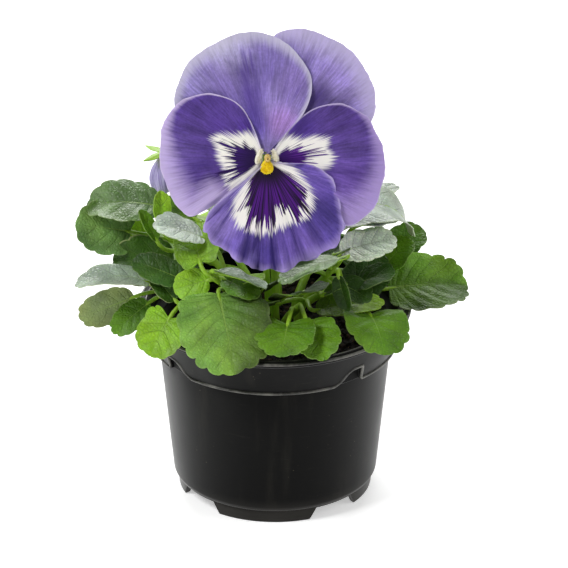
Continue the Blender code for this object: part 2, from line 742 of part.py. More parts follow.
def build_flower_stalk(group, parts, paint):
    """The stalk with its crook, the receptacle, the column and five sepals, all one green body."""
    place = flower_matrix()
    receptacle = place @ Vector((0, 0.6, -8.2))
    foot = Vector((0, 0, SOIL_TOP_Z - HOLE_DEPTH + GAP))
    collar = Vector((0, 0, SOIL_TOP_Z + SOIL_CROWN + 1))
    crook = receptacle + Vector((0.5, 6.5, -3.0))
    rise = bezier(collar, Vector((0.5, 1, 95)), crook + Vector((0, 3.0, -22)), crook, 10)
    hook = bezier(crook, crook + Vector((0, -0.9, 4.5)), place @ Vector((0, 1.6, -12)), receptacle, 5)
    points = [foot] + rise + hook[1:]
    radii = [STEM_RADIUS] * 2 + [STEM_RADIUS * 0.85] * (len(points) - 2)
    stalk = tube("flower_stalk", points, radii, group)
    ends = [place @ Vector((0, 0.6, z)) for z in (-10.0, -8.4, -6.4, -5.2, 1.3)]
    tube("receptacle", ends, [1.2, 2.3, 2.4, 1.2, 0.95], parts, sides_level=2)
    behind = place @ Matrix.Translation((0, 0.6, -7.3))
    for angle in (0, 60, 122, 238, 300):
        sepal(behind, angle, parts)
    apply_boolean(stalk, "UNION", parts)
    stalk.data.materials.clear()
    stalk.data.materials.append(paint)
    smooth(stalk.data)
    return stalk


BUD_PLACE = Vector((-40.0, 19.0, 122.8))
BUD_TURN = (185.0, -6.0)  # degrees: the bud nods, and leans a little to the left


def bud_matrix():
    """The bud's axes: Z from its calyx to its tip."""
    lean, away = (math.radians(angle) for angle in BUD_TURN)
    return Matrix.Translation(BUD_PLACE) @ Matrix.Rotation(lean, 4, "Y") @ Matrix.Rotation(away, 4, "X")


def build_bud_petals(group, paint):
    """The rolled petals of the bud: a spindle with four spiral folds."""
    place = bud_matrix()
    work = bmesh.new()
    levels = [(0.0, 1.3), (2.8, 2.9), (6.6, 4.3), (10.5, 4.6), (14.0, 3.4), (16.0, 1.4)]
    sides = 12
    rows = []
    for height, radius in levels:
        row = []
        for i in range(sides):
            around = 2 * math.pi * i / sides
            fold = 1 + 0.13 * math.sin(4 * around + 0.16 * height)
            point = Vector((radius * fold * math.cos(around), radius * fold * math.sin(around), height))
            row.append(work.verts.new(place @ point * MM))
        rows.append(row)
    for low, high in zip(rows, rows[1:]):
        for i in range(sides):
            j = (i + 1) % sides
            work.faces.new((low[i], low[j], high[j]))
            work.faces.new((low[i], high[j], high[i]))
    for row, height in ((rows[0], -0.4), (rows[-1], 16.6)):
        tip = work.verts.new(place @ Vector((0, 0, height)) * MM)
        for i in range(sides):
            work.faces.new((row[i], row[(i + 1) % sides], tip))
    bmesh.ops.recalc_face_normals(work, faces=work.faces)
    mesh = bpy.data.meshes.new("bud_petals")
    work.to_mesh(mesh)
    work.free()
    made = add_object("bud_petals", mesh, group, paint)
    smooth(mesh)
    return made


def build_bud_stalk(group, parts, paint):
    place = bud_matrix()
    seat = place @ Vector((0, 0, -1.2))
    hole = Vector((-2.5, 4.0, SOIL_TOP_Z - HOLE_DEPTH + GAP))
    collar = Vector((hole.x, hole.y, SOIL_TOP_Z + SOIL_CROWN + 1))
    crown = BUD_PLACE + Vector((7.5, 0.5, 7.0))
    rise = bezier(collar, collar + Vector((0, 0, 52)), crown + Vector((14, -2, -3)), crown, 9)
    hook = bezier(crown, crown + Vector((-4, 0, 0.9)), place @ Vector((0, 0, -6)), seat, 4)
    points = [hole] + rise + hook[1:]
    stalk = tube("bud_stalk", points, [1.35] * 2 + [1.2] * (len(points) - 2), group)
    cup = [place @ Vector((0, 0, z)) for z in (-4.0, -2.6, -0.8)]
    tube("bud_cup", cup, [1.1, 2.1, 2.0], parts)
    for angle in (20, 92, 164, 236, 308):
        sepal(
            place @ Matrix.Translation((0, 0, -1.6)), angle, parts,
            length=8.5, width=3.2, lean=-14.0, start=1.2,
        )
    apply_boolean(stalk, "UNION", parts)
    stalk.data.materials.clear()
    stalk.data.materials.append(paint)
    smooth(stalk.data)
    return stalk


def main():
    random.seed(7)
    clear_scene()
    plant = collection("potted_viola")
    cutters = collection("cutters", hidden=True)
    parts = collection("parts_to_join", hidden=True)
    plastic = material("pot_plastic", (0.022, 0.021, 0.019), 0.42)
    peat = material("potting_soil", (0.030, 0.020, 0.013), 0.95)
    green = material("leaf_green", (0.085, 0.22, 0.030), 0.45)
    stalk_green = material("stalk_green", (0.16, 0.30, 0.04), 0.5)
    violet = material("petal_violet", (0.16, 0.09, 0.46), 0.6)
    stigma = material("stigma", (0.35, 0.30, 0.06), 0.5)

    build_pot(plant, cutters, plastic)
    for name, (hole, end, leaves) in STEMS.items():
        build_leafy_stem(name, hole, end, leaves, plant, parts, green)
    build_flower_stalk(plant, parts, stalk_green)
    for name, petal in PETALS.items():
        made = build_petal(name, petal, plant, violet)
        if name == "petal_lower":
            build_spur(made, parts)
    build_pistil(plant, stigma)
    build_bud_petals(plant, violet)
    build_bud_stalk(plant, parts, stalk_green)
    holes = [(*hole, STEM_RADIUS) for hole, _, _ in STEMS.values()]
    holes += [(0, 0, STEM_RADIUS), (-2.5, 4.0, 1.35)]
    build_soil(plant, cutters, peat, holes)


main()
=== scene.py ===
"""Looks of the potted viola: finer leaves, petals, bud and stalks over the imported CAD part.

Lengths in the tables are millimetres, and MM turns them into metres. The frame is the part's
own: +Z up, -Y towards the viewer, origin on the surface that the pot stands on.
"""

import json
import math
import random
from collections import namedtuple

import bpy
from mathutils import Matrix, Vector, noise

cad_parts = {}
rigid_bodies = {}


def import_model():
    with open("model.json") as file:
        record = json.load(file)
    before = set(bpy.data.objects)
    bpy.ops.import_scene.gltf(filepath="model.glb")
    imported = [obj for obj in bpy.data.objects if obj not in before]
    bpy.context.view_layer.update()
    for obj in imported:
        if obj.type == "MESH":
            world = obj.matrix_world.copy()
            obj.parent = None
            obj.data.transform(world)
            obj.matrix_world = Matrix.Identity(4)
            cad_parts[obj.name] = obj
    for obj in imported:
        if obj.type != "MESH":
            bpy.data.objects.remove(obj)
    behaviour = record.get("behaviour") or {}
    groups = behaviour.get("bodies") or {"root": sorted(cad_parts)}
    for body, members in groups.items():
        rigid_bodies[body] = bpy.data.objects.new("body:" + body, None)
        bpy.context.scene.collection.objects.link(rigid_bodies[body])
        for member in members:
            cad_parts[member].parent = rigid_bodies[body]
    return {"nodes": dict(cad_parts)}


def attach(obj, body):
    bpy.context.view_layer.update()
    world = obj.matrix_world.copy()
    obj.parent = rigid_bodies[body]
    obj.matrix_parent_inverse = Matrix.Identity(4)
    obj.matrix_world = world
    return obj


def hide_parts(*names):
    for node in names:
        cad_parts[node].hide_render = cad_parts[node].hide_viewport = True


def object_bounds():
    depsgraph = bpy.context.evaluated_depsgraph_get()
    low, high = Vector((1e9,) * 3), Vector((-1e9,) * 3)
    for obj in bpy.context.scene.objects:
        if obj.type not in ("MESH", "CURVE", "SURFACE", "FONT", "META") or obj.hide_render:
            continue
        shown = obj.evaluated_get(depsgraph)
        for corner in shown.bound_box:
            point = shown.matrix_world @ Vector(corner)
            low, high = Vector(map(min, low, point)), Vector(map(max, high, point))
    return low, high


MM = 0.001
TAU = 2 * math.pi

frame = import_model()
CAD_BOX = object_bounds()

# Camera: the photograph's viewing angle
VIEW_ELEVATION = 26.0
VIEW_DISTANCE = 2.0
VIEW_AIM = Vector((0.0033, 0.0, 0.0798))
SENSOR = 36.0
PHOTO_SIDE = 568  # pixels
FOCAL_PIXELS = 5474  # focal length in the photograph's pixels

# Plant, as in the part
SOIL_TOP_Z = 63.0
SOIL_CROWN = 2.2
SOIL_RADIUS = 40.5
HOLE_DEPTH = 10.0
STEM_RADIUS = 1.7
PETIOLE_RADIUS = 0.95
FLOWER_THROAT = Vector((-2.8, -22.0, 139.7))
FLOWER_TILT = 20.0
PETAL_LAYER = 1.4
DOME_DROP = 3.5
DOME_RADIUS = 40.0

# Detail
BLADE_HALF = 0.17  # half the thickness of a finished blade
PETAL_HALF = 0.14
BLADE_COLUMNS = 9  # on each side of the rib
ROWS_A_TOOTH = 10
PETAL_RINGS = 40
PETAL_STEPS = 15
ARCH_STEPS = 12
TOOTH_DEPTH = 0.085
QUILT = 0.012  # rise between two side veins, as a share of the blade's width
WAVE = 0.06
SILVERY_GLOSS = 0.6  # blades with more gloss get the silvery skin
PAD_RINGS = 14
PAD_SIDES = 40
SKIRT_STEPS = 1080
SKIRT_BEAD = 0.55
COLLAR_SLOPE = 0.369
CRUMBS = 1500
PERLITE_EVERY = 47
FIBRES = 150
LAMP_AIM = Vector((0.0, 0.0, 0.09))


# Node helpers

def srgb(red, green, blue):
    """A colour of 0 to 255 channels as the linear one that the shaders use."""
    shares = [channel / 255 for channel in (red, green, blue)]
    return tuple(s / 12.92 if s <= 0.04045 else ((s + 0.055) / 1.055) ** 2.4 for s in shares)


class Value:
    """A shader socket, whose arithmetic adds Math nodes."""

    def __init__(self, skin, socket):
        self.skin = skin
        self.socket = socket

    def maths(self, operation, other=0.0):
        return self.skin.node("Math", {0: self, 1: other}, operation=operation)

    def __add__(self, other):
        return self.maths("ADD", other)

    def __sub__(self, other):
        return self.maths("SUBTRACT", other)

    def __mul__(self, other):
        return self.maths("MULTIPLY", other)

    def __truediv__(self, other):
        return self.maths("DIVIDE", other)

    def between(self, low, high, out_low=0.0, out_high=1.0):
        """The value brought smoothly from one range to another."""
        inputs = {0: self, "From Min": low, "From Max": high, "To Min": out_low, "To Max": out_high}
        return self.skin.node("MapRange", inputs, interpolation_type="SMOOTHSTEP")


class Skin:
    """A material, with short calls for the nodes that feed its Principled shader."""

    def __init__(self, name, **constants):
        self.material = bpy.data.materials.new(name)
        self.material.use_nodes = True
        self.tree = self.material.node_tree
        self.shader = self.tree.nodes["Principled BSDF"]
        for socket, value in constants.items():
            self.shader.inputs[socket.replace("_", " ")].default_value = value

    def put(self, socket, value):
        """Links a value to a socket, or sets a plain number or colour there."""
        if isinstance(value, Value):
            self.tree.links.new(value.socket, socket)
        else:
            socket.default_value = (*value, 1.0) if socket.type == "RGBA" else value

    def node(self, kind, inputs, output=0, **settings):
        """One output of a new node with these inputs and settings."""
        made = self.tree.nodes.new("ShaderNode" + kind)
        for name, value in settings.items():
            setattr(made, name, value)
        for name, value in inputs.items():
            self.put(made.inputs[name], value)
        return Value(self, made.outputs[output])

    def place(self, stretch=1.0):
        """Object coordinates in metres, the height stretched or squeezed."""
        place = self.node("TexCoord", {}, "Object")
        if stretch == 1.0:
            return place
        return self.node("Mapping", {"Vector": place, "Scale": (1.0, 1.0, stretch)})

    def split(self, vector):
        """The three parts of a vector."""
        first = self.node("SeparateXYZ", {0: vector})
        return [Value(self, part) for part in first.socket.node.outputs]

    def field(self, name, output="Fac"):
        return self.node("Attribute", {}, output, attribute_name=name)

    def noise(self, scale, detail=2.0, rough=0.5, vector=None):
        """A noise of 0 to 1, in cells a metre where no vector is given."""
        inputs = {"Vector": vector or self.place(), "Scale": scale, "Detail": detail, "Roughness": rough}
        return self.node("TexNoise", inputs, "Fac")

    def cells(self, scale, feature="F1"):
        inputs = {"Vector": self.place(), "Scale": scale}
        return self.node("TexVoronoi", inputs, "Distance", feature=feature)

    def mix(self, share, first, second, blend="MIX"):
        inputs = {0: share, 6: first, 7: second}
        return self.node("Mix", inputs, 2, data_type="RGBA", blend_type=blend)

    def over(self, colour, *layers):
        """The colour with each layer's share of its own colour laid over it."""
        for share, tint in layers:
            colour = self.mix(share, colour, tint)
        return colour

    def finish(self, colour, rough=None, height=None, strength=0.3, reach=0.3):
        """Links a colour, a roughness and a relief of so many millimetres, and gives the material."""
        self.put(self.shader.inputs["Base Color"], colour)
        if rough is not None:
            self.put(self.shader.inputs["Roughness"], rough)
        if height is not None:
            inputs = {"Height": height, "Strength": strength, "Distance": reach * MM}
            self.put(self.shader.inputs["Normal"], self.node("Bump", inputs))
        return self.material


# Mesh helpers

def plain_object(name, data, group):
    """An object of a mesh, a lamp or a camera, linked to a collection."""
    made = bpy.data.objects.new(name, data)
    group.objects.link(made)
    return made


class Shape:
    """Points in millimetres with named values, and faces with a material slot each."""

    def __init__(self):
        self.points = []
        self.values = []
        self.faces = []
        self.slots = []

    def point(self, place, values=None):
        self.points.append(tuple(place * MM))
        self.values.append(values or {})
        return len(self.points) - 1

    def face(self, corners, slot=0):
        self.faces.append(tuple(corners))
        self.slots.append(slot)

    def loft(self, rings, slot=0, far_cap=True):
        """Joins rings of points into a tube with capped ends, the far one open if asked."""
        sides = len(rings[0])
        for low, high in zip(rings, rings[1:]):
            for k in range(sides):
                j = (k + 1) % sides
                self.face((low[k], low[j], high[j], high[k]), slot)
        self.face(reversed(rings[0]), slot)
        if far_cap:
            self.face(rings[-1], slot)

    def piece(self, name, paints, fields=None, sharp=60):
        """One object of all the points, with a point attribute for each field."""
        mesh = bpy.data.meshes.new(name)
        mesh.from_pydata(self.points, [], self.faces)
        mesh.polygons.foreach_set("material_index", self.slots)
        for material in paints:
            mesh.materials.append(material)
        for key, (kind, plain) in (fields or {}).items():
            made = mesh.attributes.new(key, kind, "POINT")
            flat = []
            for values in self.values:
                value = values.get(key, plain)
                flat += [value] if kind == "FLOAT" else list(value)
            socket = {"FLOAT": "value", "FLOAT_COLOR": "color", "FLOAT_VECTOR": "vector"}[kind]
            made.data.foreach_set(socket, flat)
        mesh.update()
        mesh.shade_smooth()
        mesh.set_sharp_from_angle(angle=math.radians(sharp))
        return plain_object(name, mesh, bpy.context.scene.collection)


def turns(count, shift=0.0):
    """The angles of so many places, evenly round a circle."""
    return [TAU * (i + shift) / count for i in range(count)]


def polar(radius, angle, z=0.0):
    """A point at a distance and an angle round the Z axis."""
    return Vector((radius * math.cos(angle), radius * math.sin(angle), z))


def on_ball(tilt, around):
    """A point of a ball of radius 1, tilted from its top."""
    return polar(math.sin(tilt), around, math.cos(tilt))


def add_tube(shape, points, radii, sides, slot=0, values=None):
    """A closed tube through the points, its rings turned as little as possible."""
    side = None
    rings = []
    last = len(points) - 1
    for i, (point, radius) in enumerate(zip(points, radii)):
        ahead = (points[min(i + 1, last)] - points[max(i - 1, 0)]).normalized()
        side = ahead.orthogonal() if side is None else side - ahead * side.dot(ahead)
        side.normalize()
        up = ahead.cross(side)
        spokes = [side * math.cos(turn) + up * math.sin(turn) for turn in turns(sides)]
        rings.append([shape.point(point + spoke * radius, values) for spoke in spokes])
    shape.loft(rings, slot)


def add_skin(shape, grid, values, half, upper_slot=0, under_slot=1):
    """A thin closed sheet on both sides of a grid of points, its upper side to the grid's left."""
    last_row, last_column = len(grid) - 1, len(grid[0]) - 1
    upper, under = [], []
    for i, row in enumerate(grid):
        tops, lows = [], []
        for j, place in enumerate(row):
            along = grid[min(i + 1, last_row)][j] - grid[max(i - 1, 0)][j]
            across = row[min(j + 1, last_column)] - row[max(j - 1, 0)]
            offset = across.cross(along).normalized() * half
            tops.append(shape.point(place + offset, values[i][j]))
            lows.append(shape.point(place - offset, values[i][j]))
        upper.append(tops)
        under.append(lows)
    for i in range(last_row):
        for j in range(last_column):
            corners = ((i, j), (i, j + 1), (i + 1, j + 1), (i + 1, j))
            shape.face((upper[r][s] for r, s in corners), upper_slot)
            shape.face((under[r][s] for r, s in reversed(corners)), under_slot)
    border = [(0, j) for j in range(last_column)]
    border += [(i, last_column) for i in range(last_row)]
    border += [(last_row, j) for j in range(last_column, 0, -1)]
    border += [(i, 0) for i in range(last_row, 0, -1)]
    for (r, s), (t, u) in zip(border, border[1:] + border[:1]):
        shape.face((under[r][s], under[t][u], upper[t][u], upper[r][s]), upper_slot)


def bezier(p0, p1, p2, p3, steps):
    """Points along a cubic curve, both ends included."""
    points = []
    for i in range(steps + 1):
        t = i / steps
        a, b, c, d = (1 - t) ** 3, 3 * t * (1 - t) ** 2, 3 * t * t * (1 - t), t**3
        points.append(p0 * a + p1 * b + p2 * c + p3 * d)
    return points


def spline_point(p0, p1, p2, p3, t):
    """A point of the smooth line from p1 to p2."""
    return 0.5 * (
        2 * p1
        + (p2 - p0) * t
        + (2 * p0 - 5 * p1 + 4 * p2 - p3) * t**2
        + (3 * p1 - p0 - 3 * p2 + p3) * t**3
    )


def closed_spline(points, steps):
    """A smooth closed line through the points, steps to each stretch."""
    count = len(points)
    line = []
    for i in range(count):
        corners = [Vector(points[(i + k - 1) % count]) for k in range(4)]
        line += [spline_point(*corners, step / steps) for step in range(steps)]
    return line


def open_spline(points, steps):
    """A smooth open line through the points."""
    line = []
    last = len(points) - 1
    for i in range(last):
        corners = [Vector(points[min(max(i + k - 1, 0), last)]) for k in range(4)]
        line += [spline_point(*corners, step / steps) for step in range(steps)]
    return line + [Vector(points[last])]


def edge_distance(point, line, closed=True):
    """Distance from a point to a line of points, positive inside where the line is closed."""
    nearest = 1e9
    inside = False
    count = len(line)
    for i in range(count if closed else count - 1):
        ax, ay = line[i]
        bx, by = line[(i + 1) % count]
        dx, dy = bx - ax, by - ay
        px, py = point[0] - ax, point[1] - ay
        length = dx * dx + dy * dy
        share = min(max((px * dx + py * dy) / length, 0.0), 1.0) if length else 0.0
        gap = math.hypot(px - share * dx, py - share * dy)
        nearest = min(nearest, gap)
        if closed and (ay > point[1]) != (by > point[1]):
            if point[0] < ax + (point[1] - ay) / dy * dx:
                inside = not inside
    return nearest if inside or not closed else -nearest


def ride(piece, slot, *nodes):
    """Fixes a piece to the plant and hides the nodes that it stands for; slot is not used."""
    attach(piece, "root")
    if nodes:
        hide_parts(*nodes)
    return piece


# Materials

def pot_paint():
    """Satin black moulded plastic with faint rings, rubbed places, a little dust, and a painted reflection
    of the white floor that makes the foot paler.
    """
    skin = Skin("pot_black", Specular_IOR_Level=0.03, Sheen_Weight=0.36, Sheen_Roughness=0.4)
    cloud = skin.noise(45, 4)
    bands = skin.noise(120, 5, 0.65, skin.place(9.0))
    grime = skin.noise(90, 5, 0.6, skin.place(0.12))
    dust = skin.cells(420).between(0.13, 0.06) * skin.noise(60).between(0.58, 0.7)
    # painted reflection: the foot is coloured paler grey, as the white floor below would light it
    floor_reflection = skin.split(skin.place())[2].between(0.011, 0.003, 0.0, 0.75)
    colour = skin.over(
        skin.mix(cloud, srgb(3, 3, 3), srgb(9, 9, 8)),
        (bands.between(0.60, 0.74) * 0.12, srgb(70, 68, 62)),
        (grime.between(0.55, 0.75) * 0.1, srgb(80, 76, 66)),
        (dust * 0.3, srgb(120, 110, 92)),
        (floor_reflection, skin.mix(cloud, srgb(34, 33, 31), srgb(66, 64, 60))),
    )
    rings = bands * 0.5 + skin.noise(1500)
    return skin.finish(colour, cloud.between(0.3, 0.7, 0.3, 0.42), rings, 0.07, 0.1)


def pot_edge_paint():
    """The pot's rolled edges, painted grey as a highlight along the lip and the skirt."""
    skin = Skin("pot_black_highlight", Specular_IOR_Level=0.4)
    edge_mottle = skin.noise(140, 5, 0.65)
    # painted highlight: the rolled edges are coloured mid grey instead of black
    colour = skin.mix(edge_mottle.between(0.35, 0.7), srgb(48, 48, 45), srgb(118, 117, 110))
    return skin.finish(colour, edge_mottle.between(0.3, 0.7, 0.28, 0.45), edge_mottle, 0.1, 0.1)


def soil_paint(name, use_tone):
    """Moist peat: dark crumbs, paler specks and a rough broken surface."""
    skin = Skin(name, Specular_IOR_Level=0.3)
    coarse = skin.noise(420, 5, 0.7)
    fine = skin.noise(1900, 3)
    if use_tone:
        shade = skin.mix(0.8, (1.0, 1.0, 1.0), coarse.between(0.2, 0.8, 0.55, 1.3))
        colour = skin.mix(1.0, skin.field("tone", "Color"), shade, "MULTIPLY")
    else:
        colour = skin.mix(coarse.between(0.35, 0.7), srgb(9, 7, 5), srgb(36, 27, 19))
        colour = skin.mix(fine.between(0.62, 0.75), colour, srgb(120, 94, 66))
    return skin.finish(colour, coarse.between(0.3, 0.8, 0.98, 0.7), coarse + fine * 0.4, 0.9, 0.9)


LeafSkin = namedtuple("LeafSkin", "specular coat matt paler vein_share vein rib_share rib patches")

LEAF_PALE = srgb(122, 136, 84)
GREEN_PATCHES = (0.86, 0.94, 1.05), (1.08, 1.04, 0.92)
SILVERY_PATCHES = (0.9, 0.94, 0.93), (1.06, 1.04, 1.03)
LEAF_SKINS = {
    "leaf_upper": LeafSkin(
        0.36, 0.1, 0.0, 0.0, 0.14, srgb(140, 176, 70), 0.5, srgb(150, 184, 80), GREEN_PATCHES
    ),
    "leaf_under": LeafSkin(
        0.2, 0.0, 0.2, 0.5, 0.4, srgb(160, 172, 118), 0.8, srgb(176, 186, 132), GREEN_PATCHES
    ),
    "leaf_silvery": LeafSkin(
        0.5, 0.18, 0.0, 0.0, 0.14, srgb(104, 138, 70), 0.5, srgb(150, 184, 80), SILVERY_PATCHES
    ),
}


def leaf_paint(name, look):
    """A leaf's face: a rib, side veins, a quilted net, mottling, and painted shade in the vein creases, the
    net's grooves and the plant's heart.
    """
    skin = Skin(
        name, Subsurface_Weight=0.12, Subsurface_Scale=0.6 * MM, Subsurface_Radius=(0.6, 1.0, 0.25),
        Specular_IOR_Level=look.specular, Coat_Weight=look.coat, Coat_Roughness=0.36,
    )
    across = skin.field("across").maths("ABSOLUTE")
    phase = skin.field("vein") + (skin.noise(260, 3) - 0.5) * 0.22
    crease = (phase.maths("FRACT") - 0.5).maths("ABSOLUTE") * 2.0
    side = crease.between(0.86, 1.0) * across.between(0.97, 0.7) * across.between(0.0, 0.08)
    rib = (across / skin.field("along").between(0.0, 1.0, 0.07, 0.012)).between(1.0, 0.45)
    pad = skin.cells(720, "DISTANCE_TO_EDGE").between(0.02, 0.3)
    blotch = skin.noise(120, 4)
    grain = skin.noise(2200)
    x, y, z = skin.split(skin.place())
    heart = (x * x + y * y).maths("SQRT").between(0.046, 0.022) * z.between(0.104, 0.08)
    light = blotch.between(0.3, 0.7, 0.76, 1.2) * grain.between(0.3, 0.7, 0.94, 1.05)
    # painted shade: darker along the side veins' creases and in the grooves of the quilted net
    light = light * side.between(0.0, 1.0, 1.0, 0.84) * pad.between(0.0, 1.0, 0.90, 1.04)
    # painted shade in the plant's heart, low and near the axis
    light = light * heart.between(0.0, 1.0, 1.0, 0.5)
    colour = skin.over(
        skin.field("tone", "Color"), (look.paler, LEAF_PALE), (side * look.vein_share, look.vein)
    )
    patch = skin.mix(skin.noise(55, 3).between(0.36, 0.62), *look.patches)
    colour = skin.mix(1.0, skin.mix(1.0, colour, patch, "MULTIPLY"), light, "MULTIPLY")
    margin = across.between(0.94, 1.0) * skin.field("rim")
    colour = skin.over(colour, (rib * look.rib_share, look.rib), (margin, srgb(196, 206, 140)))
    rough = skin.field("gloss").between(0.0, 1.0, 0.62, 0.36) + blotch.between(0.3, 0.7, -0.05, 0.08)
    relief = side * 0.7 + rib * 0.8
    height = pad * 0.5 + relief * (1.0 if name == "leaf_under" else -1.0) + grain * 0.12
    return skin.finish(colour, rough + look.matt, height, 0.65, 0.4)


def stalk_paint():
    """Juicy stalks: pale green with fine lengthwise ribs, and painted shade in brown low down near the
    soil.
    """
    skin = Skin(
        "stalk_skin", Subsurface_Weight=0.15, Subsurface_Scale=0.8 * MM,
        Subsurface_Radius=(0.6, 1.0, 0.3),
    )
    ribs = skin.noise(1100, vector=skin.place(0.08))
    cloud = skin.noise(130, 3)
    # painted shade: the stalks are darker and browner towards the soil
    low = skin.split(skin.place())[2].between(0.074, 0.062)
    colour = skin.over(
        skin.mix(cloud, srgb(118, 168, 16), srgb(166, 210, 52)),
        (ribs.between(0.45, 0.7, 0.0, 0.5), srgb(182, 212, 92)),
        (low * 0.3, srgb(92, 76, 46)),
    )
    return skin.finish(colour, cloud.between(0.3, 0.7, 0.38, 0.55), ribs, 0.3, 0.15)


PetalLook = namedtuple("PetalLook", "mirror streak streak_share pale rim white dark vein stripes")

PETAL_LOOKS = {
    "petal_upper_right": PetalLook(
        1, srgb(86, 66, 140), 0.40, srgb(200, 190, 224), srgb(214, 206, 232),
        srgb(229, 222, 226), srgb(60, 44, 100), srgb(80, 50, 130), 0.2,
    ),
    "petal_upper_left": PetalLook(
        -1, srgb(78, 56, 136), 0.50, srgb(206, 202, 220), srgb(206, 200, 224),
        srgb(229, 222, 226), srgb(64, 40, 128), srgb(80, 50, 150), 0.2,
    ),
    "petal_side_right": PetalLook(
        1, srgb(62, 38, 112), 0.55, srgb(182, 160, 216), srgb(222, 212, 238),
        srgb(250, 247, 240), srgb(52, 14, 96), srgb(98, 36, 150), 0.8,
    ),
    "petal_side_left": PetalLook(
        -1, srgb(62, 42, 116), 0.45, srgb(214, 196, 238), srgb(232, 222, 242),
        srgb(250, 247, 238), srgb(34, 9, 70), srgb(66, 26, 126), 0.5,
    ),
    "petal_lower": PetalLook(
        1, srgb(46, 33, 102), 0.60, srgb(168, 148, 214), srgb(206, 194, 230),
        srgb(250, 246, 240), srgb(28, 7, 44), srgb(78, 20, 126), 1.0,
    ),
}


def petal_paint(name, look):
    """Velvety petal: streaks, a pale border, a white zone, a dark blotch with spikes and a thin rim."""
    skin = Skin(
        name, Subsurface_Weight=0.1, Subsurface_Scale=0.6 * MM, Subsurface_Radius=(0.7, 0.5, 1.0),
        Specular_IOR_Level=0.2, Sheen_Weight=0.08, Sheen_Roughness=0.4,
    )
    x, y, _ = skin.split(skin.field("bloom", "Vector"))
    angle = y.maths("ARCTAN2", x * float(look.mirror))
    radius = (x * x + y * y).maths("SQRT")

    def ray(turning, outward, seed, detail=2.0):
        """Noise drawn out from the throat: so many streaks a radian, so many a millimetre."""
        vector = skin.node("CombineXYZ", {0: angle * turning, 1: radius * outward, 2: seed})
        return skin.noise(1.0, detail, 0.6, vector)

    broad, narrow, hair = ray(7, 0.05, 3.0), ray(20, 0.06, 11.0), ray(46, 0.1, 23.0)
    growth = radius.between(3.0, 17.0, 0.15, 1.0)

    def ragged(value, soft, reach, first=narrow, second=hair):
        """A zone's edge, moved out and in by the streaks, the more the farther from the throat."""
        moved = ((first - 0.5) * reach + (second - 0.5) * (1.5 * reach)) * growth
        return (value + moved).between(-soft, soft)

    streaks = narrow.between(0.50, 0.66) * look.streak_share * radius.between(5.0, 12.0)
    colour = skin.mix(streaks * skin.field("streaky"), skin.field("tone", "Color"), look.streak)
    light = broad.between(0.3, 0.7, 0.84, 1.22) * narrow.between(0.3, 0.7, 0.90, 1.14)
    light = light * hair.between(0.3, 0.7, 0.86, 1.12)
    light = light * skin.noise(110, 4).between(0.3, 0.7, 0.86, 1.14)
    light = light * ray(64, 0.25, 83.0, 4.0).between(0.32, 0.62, 0.86, 1.08)
    light = light * skin.noise(1100, 4, 0.7).between(0.3, 0.7, 0.9, 1.1)
    inside = skin.field("dark_mm")
    spikes = (ray(34, 0.012, 57.0, 3.0) - inside.between(-6.5, 0.5, 0.86, 0.60)).between(-0.02, 0.03)
    stripes = ray(26, 0.02, 41.0, 3.0).between(0.42, 0.54) * radius.between(5.5, 12.0) * look.stripes
    white = ragged(skin.field("white_mm"), 1.3, 5.0, ray(30, 0.04, 31.0), ray(74, 0.05, 71.0, 3.0))
    dark = ragged(inside, 0.35, 6.0, ray(22, 0.012, 57.0), ray(44, 0.02, 91.0))
    # painted shade: the folds' valleys are darkened with the streak colour
    smudge = skin.field("smudge") * narrow.between(0.36, 0.62, 0.35, 1.0)
    colour = skin.over(
        skin.mix(1.0, colour, light, "MULTIPLY"),
        (ragged(skin.field("pale"), 1.0, 0.7) * 0.8, look.pale),
        (smudge * 1.1, look.streak),
        (white * 0.96, look.white),
        (spikes * inside.between(-6.0, -4.0) * 0.9, look.dark),
        (dark, skin.mix(stripes, look.dark, look.vein)),
        (skin.field("rim_mm").between(0.55, 0.1) * 0.45, look.rim),
    )
    folds = narrow + hair * 0.5 + skin.noise(2400, 1) * 0.25
    return skin.finish(colour, hair.between(0.3, 0.7, 0.62, 0.78), folds, 0.5, 0.35)


def petal_back_paint():
    """The petals' backs: a paler, greyer violet with darker veins."""
    skin = Skin(
        "petal_back", Subsurface_Weight=0.1, Subsurface_Scale=0.6 * MM,
        Subsurface_Radius=(0.7, 0.5, 1.0), Specular_IOR_Level=0.25,
    )
    x, y, radius = skin.split(skin.field("bloom", "Vector"))
    vector = skin.node("CombineXYZ", {0: x.maths("ARCTAN2", y) * 16.0, 1: radius * 0.02})
    veins = skin.noise(1.0, 3, vector=vector)
    colour = skin.over(
        skin.field("tone", "Color"),
        (0.45, srgb(176, 164, 210)),
        (veins.between(0.52, 0.7, 0.0, 0.5), srgb(112, 84, 168)),
    )
    return skin.finish(colour, veins.between(0.3, 0.7, 0.6, 0.8), veins, 0.35, 0.3)


def flat_paint(name, first, second, scale, relief=0.3):
    """Two close colours in a fine mottle, with a matching relief."""
    skin = Skin(name)
    mottle = skin.noise(scale, 4)
    colour = skin.mix(mottle.between(0.35, 0.65), first, second)
    return skin.finish(colour, mottle.between(0.3, 0.7, 0.45, 0.7), mottle, relief, 0.25)


def bud_paint():
    """Rolled lavender petals with darker spiral veins, greenish where they leave the calyx."""
    skin = Skin("bud_skin", Specular_IOR_Level=0.25, Sheen_Weight=0.2)
    along = skin.field("along")
    vector = skin.node("CombineXYZ", {0: skin.field("turn") * 16.0, 1: along * 1.5})
    veins = skin.noise(1.0, 3, 0.6, vector)
    colour = skin.mix(veins.between(0.4, 0.65), srgb(196, 188, 228), srgb(138, 120, 190))
    colour = skin.mix(along.between(0.28, 0.02), colour, srgb(168, 178, 132))
    return skin.finish(colour, veins.between(0.3, 0.7, 0.55, 0.75), veins, 0.5, 0.3)


